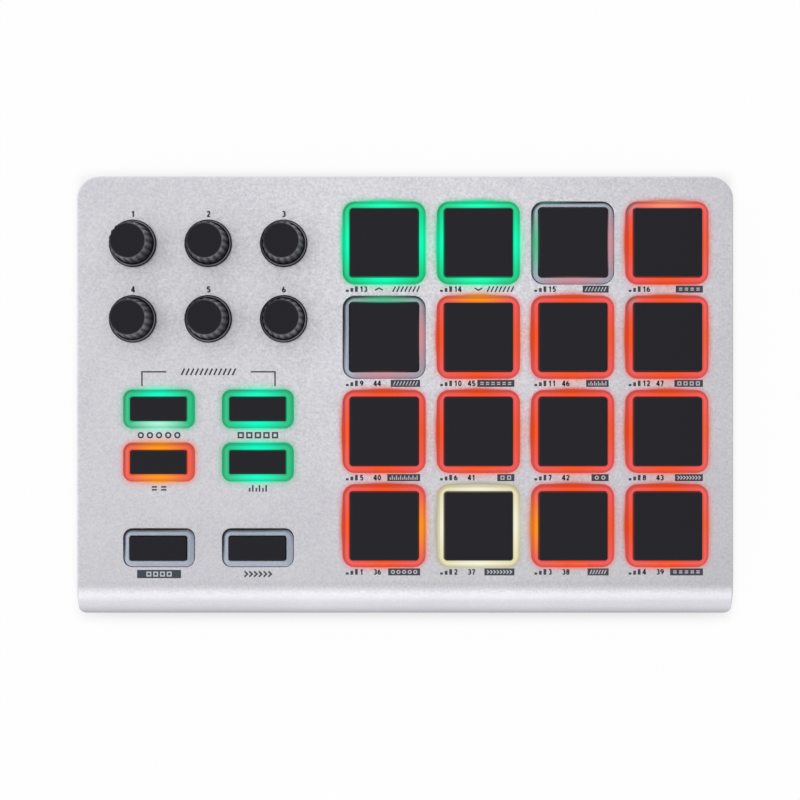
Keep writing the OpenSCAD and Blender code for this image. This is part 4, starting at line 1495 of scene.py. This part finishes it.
@dataclass
class PanelPrint:
    """The legends, as thin films of ink: plain numbers, signs, plates and lines.

    Attributes:
        film: Thickness of the ink.
        knob_cap: Height of the knobs' numbers.
        knob_rise: Distance from a knob's middle back to its number.
        pad_cap: Height of the pads' numbers and signs.
        pad_drop: Distance from a pad's middle forward to its legend.
        pad_left: Distance from a pad's middle to the left end of its legend.
        pad_right: Distance from a pad's middle to the right end of its legend.
        bars: Heights of the bars before a pad's number, as shares of its height.
        bar_pitch: Distance from bar to bar, as a share of that height.
        bar_width: Width of a bar, as a share of that height.
        first_note: What a pad's number and its note number differ by.
        last_noted: The last pad that shows its note number.
        note_left: Distance from a pad's middle to the middle of its note number.
        plate: Height of the dark plates.
        plate_ends: Width of a plate that its signs leave bare.
        plate_sign: Height of a plate's signs, as a share of the plate's.
        plate_widths: Width of each pad's dark plate, by the pad's number.
        arrow: The arrow head of a pad with no plate, a unit high, pointing to the rear.
        arrow_left: Distance from a pad's middle to the arrow head that points to the rear.
        slants: Width of the row of strokes in front of a pad with no plate.
        button_cap: Height of the buttons' signs.
        button_drop: Distance from a button's middle forward to its signs.
        button_signs: Each button's sign, and the width of its row.
        plated_button: Number of the button whose signs stand on a dark plate.
        button_plate: Width and height of that plate.
        button_plate_sign: Height of its signs, as a share of the plate's.
        line: Width of the drawn lines.
        stroke: Width of a stroke, as a share of the height.
        digit_pitch: Distance from digit to digit, as a share of their height.
    """

    film: float = 0.03
    knob_cap: float = 2.15
    knob_rise: float = 10.35
    pad_cap: float = 1.95
    pad_drop: float = 16.15
    pad_left: float = 13.4
    pad_right: float = 12.6
    bars: tuple[float, ...] = (0.4, 0.7, 1.0)
    bar_pitch: float = 0.82
    bar_width: float = 0.5
    first_note: int = 35
    last_noted: int = 12
    note_left: float = 2.4
    plate: float = 2.45
    plate_ends: float = 1.4
    plate_sign: float = 0.6
    arrow: tuple[Point, ...] = ((-0.7, -0.2), (0.0, 0.2), (0.7, -0.2))
    arrow_left: float = 1.8
    slants: float = 9.8
    button_cap: float = 2.3
    button_drop: float = 9.2
    plated_button: int = 5
    button_plate: Point = (15.4, 2.9)
    button_plate_sign: float = 0.62
    line: float = 0.5
    stroke: float = 0.25
    digit_pitch: float = 0.72
    plate_widths: Mapping[int, float] = field(
        default_factory=lambda: {
            1: 11.2,
            2: 10.5,
            3: 7.4,
            4: 11.5,
            5: 11.5,
            6: 6.0,
            7: 6.0,
            8: 9.8,
            9: 10.3,
            10: 13.0,
            11: 7.9,
            12: 10.0,
            15: 9.1,
            16: 9.5,
        }
    )
    button_signs: tuple[tuple[Mark, float], ...] = (
        (Mark.RINGS, 16.0),
        (Mark.SQUARES, 15.0),
        (Mark.PAIRS, 6.6),
        (Mark.POSTS, 7.0),
        (Mark.SQUARES, 9.5),
        (Mark.CHEVRONS, 10.0),
    )

    def build(self, pads: Sequence[LitKey], buttons: Sequence[LitKey], knobs: Sequence[Point]) -> None:
        """Print every legend.

        Args:
            pads: The pads, from the first.
            buttons: The buttons, from the first.
            knobs: The middles of the knobs.
        """
        self.top = box_mm("top_cover")[1].z
        self.dark, self.pale = Shell(), Shell()
        for number, place in enumerate(knobs, 1):
            self._number(number, (place[0], place[1] + self.knob_rise), self.knob_cap)
        for number, pad in enumerate(pads, 1):
            self._pad_legend(number, pad.place)
        for number, (button, (mark, width)) in enumerate(zip(buttons, self.button_signs), 1):
            self._button_legend(number, button.place, mark, width)
        self._bracket(buttons[0].place, buttons[1].place)
        self.dark.piece("print_slate", SLATE_INK, CHASSIS)
        self.pale.piece("print_pale", PALE_INK, CHASSIS)

    def _layer(self, shell: Shell) -> Point:
        """Heights of a film's underside and top: dark ink is on the panel, and pale ink on a dark plate."""
        low = self.top if shell is self.dark else self.top + self.film
        return low, low + self.film

    def _bar(self, shell: Shell, left: float, front: float, width: float, depth: float) -> None:
        """Print a bar from its front left corner."""
        right, rear = left + width, front + depth
        corners = [(left, front), (right, front), (right, rear), (left, rear)]
        shell.slab(corners, *self._layer(shell))

    def _strokes(self, shell: Shell, strokes: Sequence[Sequence[Point]], place: Point, cap: float) -> None:
        """Print strokes that are drawn a unit high.

        Args:
            shell: The ink that prints them.
            strokes: The paths of the strokes.
            place: Where their origin goes.
            cap: Their real height.
        """
        for stroke in strokes:
            path = [(place[0] + cap * x, place[1] + cap * y) for x, y in stroke]
            shell.ribbon(path, self.stroke * cap, *self._layer(shell))

    def _number(self, number: int, place: Point, cap: float) -> None:
        """Print a plain number.

        Args:
            number: The number.
            place: Its middle.
            cap: Its height.
        """
        pitch = self.digit_pitch * cap
        digits = str(number)
        left = place[0] - pitch * len(digits) / 2
        for index, digit in enumerate(digits):
            self._strokes(self.dark, DIGITS[digit], (left + (index + 0.5) * pitch, place[1] - cap / 2), cap)

    def _signs(self, shell: Shell, mark: Mark, place: Point, width: float, cap: float) -> None:
        """Print a row of plain signs.

        Args:
            shell: The ink that prints them.
            mark: Which signs.
            place: The row's middle.
            width: The row's width.
            cap: The signs' height.
        """
        count = max(round(width / (SIGN_PITCH[mark] * cap)), 2)
        pitch = width / count
        for step in range(count):
            self._strokes(shell, mark.value, (place[0] - width / 2 + (step + 0.5) * pitch, place[1]), cap)

    def _pad_legend(self, number: int, place: Point) -> None:
        """Print the line in front of a pad: rising bars, the pad's number, then signs or a plate.

        Args:
            number: The pad's number.
            place: The pad's middle.
        """
        left, y = place[0] - self.pad_left, place[1] - self.pad_drop
        for step, rise in enumerate(self.bars):
            start = left + step * self.bar_pitch * self.pad_cap
            width = self.bar_width * self.pad_cap
            self._bar(self.dark, start, y - self.pad_cap / 2, width, rise * self.pad_cap)
        number_left = left + len(self.bars) * self.bar_pitch * self.pad_cap
        number_room = self.digit_pitch * len(str(number)) * self.pad_cap
        self._number(number, (number_left + number_room / 2, y), self.pad_cap)
        if number in self.plate_widths:
            width = self.plate_widths[number]
            start = place[0] + self.pad_right - width
            mark = list(Mark)[number % len(Mark)]
            self._bar(self.dark, start, y - self.plate / 2, width, self.plate)
            sign = self.plate_sign * self.plate
            self._signs(self.pale, mark, (start + width / 2, y), width - self.plate_ends, sign)
            if number <= self.last_noted:
                self._number(number + self.first_note, (place[0] - self.note_left, y), self.pad_cap)
        else:
            way, left = (1, self.arrow_left) if number % 2 else (-1, 0.0)
            arrow = [(x, way * z) for x, z in self.arrow]
            self._strokes(self.dark, [arrow], (place[0] - left, y), self.pad_cap)
            middle = place[0] + self.pad_right - self.slants / 2
            self._signs(self.dark, Mark.SLANTS, (middle, y), self.slants, self.pad_cap)

    def _button_legend(self, number: int, place: Point, mark: Mark, width: float) -> None:
        """Print the signs in front of a button.

        Args:
            number: The button's number.
            place: The button's middle.
            mark: Which signs.
            width: The row's width.
        """
        y = place[1] - self.button_drop
        if number != self.plated_button:
            self._signs(self.dark, mark, (place[0], y), width, self.button_cap)
            return
        plate = self.button_plate
        self._bar(self.dark, place[0] - plate[0] / 2, y - plate[1] / 2, *plate)
        self._signs(self.pale, mark, (place[0], y), width, self.button_plate_sign * plate[1])

    def _bracket(self, left: Point, right: Point) -> None:
        """Print the bracket behind the first two buttons, and the signs in it.

        Args:
            left: The left button's middle.
            right: The right button's middle.
        """
        rise, leg, arm, inset, signs_width = 13.0, 5.0, 8.5, 6.0, 19.5
        for place, way in ((left, 1), (right, -1)):
            corner, y = place[0] - way * inset, place[1] + rise
            path = [(corner, y - leg), (corner, y), (corner + way * arm, y)]
            self.dark.ribbon(path, self.line, *self._layer(self.dark))
        middle = ((left[0] + right[0]) / 2, left[1] + rise)
        self._signs(self.dark, Mark.SLANTS, middle, signs_width, self.button_cap)


# Pieces that keep their CAD shape


@dataclass
class CarriedPieces:
    """The CAD nodes that stay as they are, with their real materials and eased edges.

    Attributes:
        finishes: The finish of each node, by name.
        eased: Radius of the edges of the nodes that show from outside.
        edge_steps: Number of steps round such an edge.
        edge_degrees: The angle above which an edge is eased.
    """

    finishes: Mapping[str, Finish] = field(
        default_factory=lambda: {
            "base_tray": CASE_ABS,
            "case_screws": ZINC_STEEL,
            "main_board": GREEN_LAMINATE,
            "board_screws": ZINC_STEEL,
            "pad_sensors": SENSOR_FILM,
            "button_switches": COMPONENT_PLASTIC,
            "encoder_bodies": COMPONENT_PLASTIC,
            "encoder_bushings": TURNED_BRASS,
            "encoder_washers": ZINC_STEEL,
            "encoder_nuts": ZINC_STEEL,
            "lighting_leds": LED_RESIN,
            "board_chips": COMPONENT_PLASTIC,
            "io_board": GREEN_LAMINATE,
            "io_board_screws": ZINC_STEEL,
            "usb_socket": ZINC_STEEL,
            "usb_tongue": COMPONENT_PLASTIC,
            "midi_jacks": COMPONENT_PLASTIC,
            "flat_cable": RIBBON_FILM,
            "cable_connectors": NATURAL_NYLON,
            **{f"encoder_shaft_{number}": TURNED_STEEL for number in range(1, 7)},
        }
    )
    eased: Mapping[str, float] = field(
        default_factory=lambda: {
            "base_tray": 0.4,
            "case_screws": 0.15,
            "usb_socket": 0.05,
            "midi_jacks": 0.2,
        }
    )
    edge_steps: int = 3
    edge_degrees: float = 40.0

    def dress(self, nodes: Mapping[str, bpy.types.Object]) -> None:
        """Give each node its material, and ease the edges that show.

        Args:
            nodes: The frame's nodes.
        """
        for name, finish in self.finishes.items():
            node = nodes[name]
            node.data.materials.clear()
            node.data.materials.append(finish.material())
            log.info("%s: %s", name, finish.name)
        for name, radius in self.eased.items():
            joined = nodes[name].modifiers.new("joined_points", "WELD")
            joined.merge_threshold = JOINED
            rounded = nodes[name].modifiers.new("eased_edges", "BEVEL")
            rounded.width = radius * MM
            rounded.segments = self.edge_steps
            rounded.limit_method = "ANGLE"
            rounded.angle_limit = math.radians(self.edge_degrees)
            rounded.harden_normals = True


# Studio


@dataclass
class Studio:
    """The pale floor, the soft light and the camera over the panel.

    Attributes:
        camera: Where the camera is.
        lens: Its focal length.
        horizon: Strength of the light from all round, low down.
        overhead: Strength of the light from above, where the camera hangs.
        dim_way: Direction of the least light from above.
        dim_start: Share of that direction at which the light starts to fall.
        floor_side: Side of the floor.
        floor_white: Share of the floor's white that no shadow dims, at the object and away from it; the
            smaller share at the object also paints shade there.
        shadow_reach: How far from the object its real shadow shows more, under a painted shade that fades
            out over that reach.
        paper: Colour of the floor under the light.
    """

    camera: tuple[float, float, float] = (-1.8, -1.32, 780.0)
    lens: float = 96.4
    horizon: float = 1.0
    overhead: float = 0.47
    dim_way: tuple[float, float, float] = (0.38, -0.42, 0.82)
    dim_start: float = 0.25
    floor_side: float = 8000.0
    floor_white: Point = (0.5, 0.96)
    shadow_reach: float = 7.0
    paper: str = "#f3f3f3"

    def build(self) -> None:
        """Set the stage."""
        bpy.context.scene.view_settings.view_transform = "Standard"
        self._camera()
        self._floor()
        self._sky()
        self._softbox("front_softbox", rise=38, turn=0, distance=1500, size=(1600, 900), watts=4.2)
        self._softbox("left_softbox", rise=50, turn=-90, distance=1500, size=(1200, 900), watts=1.6)
        self._softbox("rear_softbox", rise=83, turn=155, distance=640, size=(260, 220), watts=0.16)

    def _camera(self) -> None:
        """Hang the camera over the panel, looking straight down."""
        data = bpy.data.cameras.new("overhead_camera")
        data.lens = self.lens
        data.clip_start = 0.01
        holder = bpy.data.objects.new("overhead_camera", data)
        holder.location = Vector(self.camera) * MM
        bpy.context.scene.collection.objects.link(holder)
        bpy.context.scene.camera = holder

    def _floor(self) -> None:
        """Lay the floor, white to the eye and to reflections, with the object's shadow on it and a painted
        shade close round the object.
        """
        half = self.floor_side / 2 * MM
        mesh = bpy.data.meshes.new("floor")
        corners = [(-half, -half, 0), (half, -half, 0), (half, half, 0), (-half, half, 0)]
        mesh.from_pydata(corners, [], [(0, 1, 2, 3)])
        floor = bpy.data.objects.new("floor", mesh)
        bpy.context.scene.collection.objects.link(floor)
        floor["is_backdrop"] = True
        material = bpy.data.materials.new("paper_white_backdrop")
        material.use_nodes = True
        tree = material.node_tree
        tree.nodes.clear()
        low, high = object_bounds()
        foot = ((high[0] - low[0]) / 2, (high[1] - low[1]) / 2, 0.0)
        outside = add_node(tree, "ShaderNodeTexCoord", {}).outputs["Object"]
        nowhere = (0.0, 0.0, 0.0)
        for operation, other in (("ABSOLUTE", nowhere), ("SUBTRACT", foot), ("MAXIMUM", nowhere)):
            settings = {"operation": operation, 1: other}
            outside = add_node(tree, "ShaderNodeVectorMath", settings, {0: outside}).outputs["Vector"]
        away = add_node(tree, "ShaderNodeVectorMath", {"operation": "LENGTH"}, {0: outside})
        white_share = add_node(
            tree,
            "ShaderNodeMapRange",
            {
                "interpolation_type": "SMOOTHSTEP",
                "From Max": self.shadow_reach * MM,
                "To Min": self.floor_white[0],
                "To Max": self.floor_white[1],
            },
            {"Value": away.outputs["Value"]},
        )
        path = add_node(tree, "ShaderNodeLightPath", {})
        seen = add_node(
            tree,
            "ShaderNodeMath",
            {"operation": "MAXIMUM"},
            {0: path.outputs["Is Camera Ray"], 1: path.outputs["Is Glossy Ray"]},
        )
        shown = add_node(
            tree,
            "ShaderNodeMath",
            {"operation": "MAXIMUM"},
            {0: seen.outputs[0], 1: path.outputs["Is Transmission Ray"]},
        )
        share = add_node(
            tree,
            "ShaderNodeMath",
            {"operation": "MULTIPLY"},
            {0: shown.outputs[0], 1: white_share.outputs["Result"]},
        )
        paper = add_node(tree, "ShaderNodeBsdfDiffuse", {"Color": (*linear(self.paper), 1)})
        white = add_node(tree, "ShaderNodeEmission", {"Color": (*linear(WHITE), 1), "Strength": 1.0})
        mixed = add_node(
            tree, "ShaderNodeMixShader", {}, {0: share.outputs[0], 1: paper.outputs[0], 2: white.outputs[0]}
        )
        add_node(tree, "ShaderNodeOutputMaterial", {}, {"Surface": mixed.outputs[0]})
        mesh.materials.append(material)

    def _sky(self) -> None:
        """Light the object from all round, a little less from straight above."""
        world = bpy.data.worlds.new("soft_room")
        world.use_nodes = True
        tree = world.node_tree
        ground = tree.nodes["Background"]
        ground.inputs["Color"].default_value = (*linear(WHITE), 1)
        way = add_node(tree, "ShaderNodeTexCoord", {})
        rise = add_node(
            tree,
            "ShaderNodeVectorMath",
            {"operation": "DOT_PRODUCT", 1: self.dim_way},
            {0: way.outputs["Generated"]},
        )
        strength = add_node(
            tree,
            "ShaderNodeMapRange",
            {
                "interpolation_type": "SMOOTHSTEP",
                "From Min": self.dim_start,
                "To Min": self.horizon,
                "To Max": self.overhead,
            },
            {"Value": rise.outputs["Value"]},
        )
        tree.links.new(strength.outputs["Result"], ground.inputs["Strength"])
        bpy.context.scene.world = world

    def _softbox(
        self, name: str, rise: float, turn: float, distance: float, size: Point, watts: float
    ) -> None:
        """Hang a softbox that faces the object.

        Args:
            name: Its name.
            rise: Its height above the horizon, in degrees.
            turn: Its direction in degrees, 0 in front and 90 to the right.
            distance: Its distance.
            size: Its width and height.
            watts: Its power.
        """
        data = bpy.data.lights.new(name, "AREA")
        data.shape = "RECTANGLE"
        data.size, data.size_y = (side * MM for side in size)
        data.energy = watts
        up, round_to = math.radians(rise), math.radians(turn)
        way = Vector((math.sin(round_to) * math.cos(up), -math.cos(round_to) * math.cos(up), math.sin(up)))
        holder = bpy.data.objects.new(name, data)
        holder.location = way * distance * MM
        holder.rotation_euler = way.to_track_quat("Z", "Y").to_euler()
        holder.visible_camera = False
        bpy.context.scene.collection.objects.link(holder)


def islands(node: bpy.types.Object) -> list[Point]:
    """Find the middles of the separate solids of a CAD node.

    Args:
        node: The node's object.

    Returns:
        Their middles, seen from above, in millimetres.
    """
    mesh = bmesh.new()
    mesh.from_mesh(node.data)
    bmesh.ops.remove_doubles(mesh, verts=mesh.verts, dist=JOINED)
    left = set(mesh.verts)
    middles = []
    while left:
        group, edge = set(), [left.pop()]
        while edge:
            vertex = edge.pop()
            group.add(vertex)
            near = {e.other_vert(vertex) for e in vertex.link_edges} & left
            left -= near
            edge += near
        xs, ys = [v.co.x / MM for v in group], [v.co.y / MM for v in group]
        middles.append(((min(xs) + max(xs)) / 2, (min(ys) + max(ys)) / 2))
    mesh.free()
    return sorted(middles)


def within(place: Point, node: str) -> bool:
    """Whether a place lies inside a CAD node's box, seen from above."""
    low, high = box_mm(node)
    return low.x < place[0] < high.x and low.y < place[1] < high.y


def corners_within(node: str, inset: float) -> list[Point]:
    """Give the four corners of a CAD node's box from above, drawn in."""
    low, high = box_mm(node)
    return [(x, y) for x in (low.x + inset, high.x - inset) for y in (low.y + inset, high.y - inset)]


def crossings(keys: Sequence[LitKey]) -> list[Point]:
    """Give the places midway between neighbouring keys, both ways."""
    columns, rows = (sorted({round(key.place[axis], 2) for key in keys}) for axis in (0, 1))
    return [
        ((left + right) / 2, (front + rear) / 2)
        for left, right in zip(columns, columns[1:])
        for front, rear in zip(rows, rows[1:])
    ]


def main() -> None:
    """Build and dress the controller and set its stage."""
    logging.basicConfig(level=logging.INFO, format="%(name)s: %(message)s")
    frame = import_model()
    cad_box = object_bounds()
    nodes = frame["nodes"]
    pad_plan = KeyPlan.measured(
        "pad_1",
        flange_reach=0.95,
        corner=1.0,
        rim_width=1.85,
        rim_corner=3.9,
        halo_lean={Side.LEFT: 1.4, Side.REAR: 1.5, Side.RIGHT: 0.85, Side.FRONT: 0.85},
        web_light=0.24,
    )
    button_plan = KeyPlan.measured(
        "button_1", flange_reach=0.9, corner=0.5, rim_width=2.05, rim_corner=2.8, halo_scale=1.25
    )
    pads, buttons = (
        [LitKey(f"{kind}_{number}", plan, light) for number, light in sorted(lights.items())]
        for kind, plan, lights in (("pad", pad_plan, PAD_LIGHTS), ("button", button_plan, BUTTON_LIGHTS))
    )
    knobs = Knobs()
    posts, bosses = islands(nodes["board_screws"]), islands(nodes["case_screws"])
    pad_posts = [post for post in posts if within(post, "pad_light_frame")]
    clear_of_post = 1.0
    pad_legs = [
        spot for spot in crossings(pads) if min(math.dist(spot, post) for post in pad_posts) > clear_of_post
    ]

    Studio().build()
    TopCover().build([*pads, *buttons], knobs.places(), posts, bosses)
    LightFrame("pad_light_frame", pads).build(pad_posts, pad_legs)
    LightFrame("button_light_frame", buttons).build([], corners_within("button_light_frame", inset=1.2))
    SoftKeys(pads, edge=0.5, crown=0.12, flange_low=25.0, flange_high=26.2, plunger_radius=8.0).build()
    SoftKeys(buttons, edge=0.3, crown=0.06, flange_low=25.2, flange_high=26.2, plunger_radius=1.75).build()
    knobs.build()
    RubberFeet().build()
    CarriedPieces().dress(nodes)
    PanelPrint().build(pads, buttons, knobs.places())

    boxes = {"cad": cad_box, "visual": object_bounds()}
    {name: [list(corner) for corner in box] for name, box in boxes.items()}


if __name__ == "__main__":
    main()
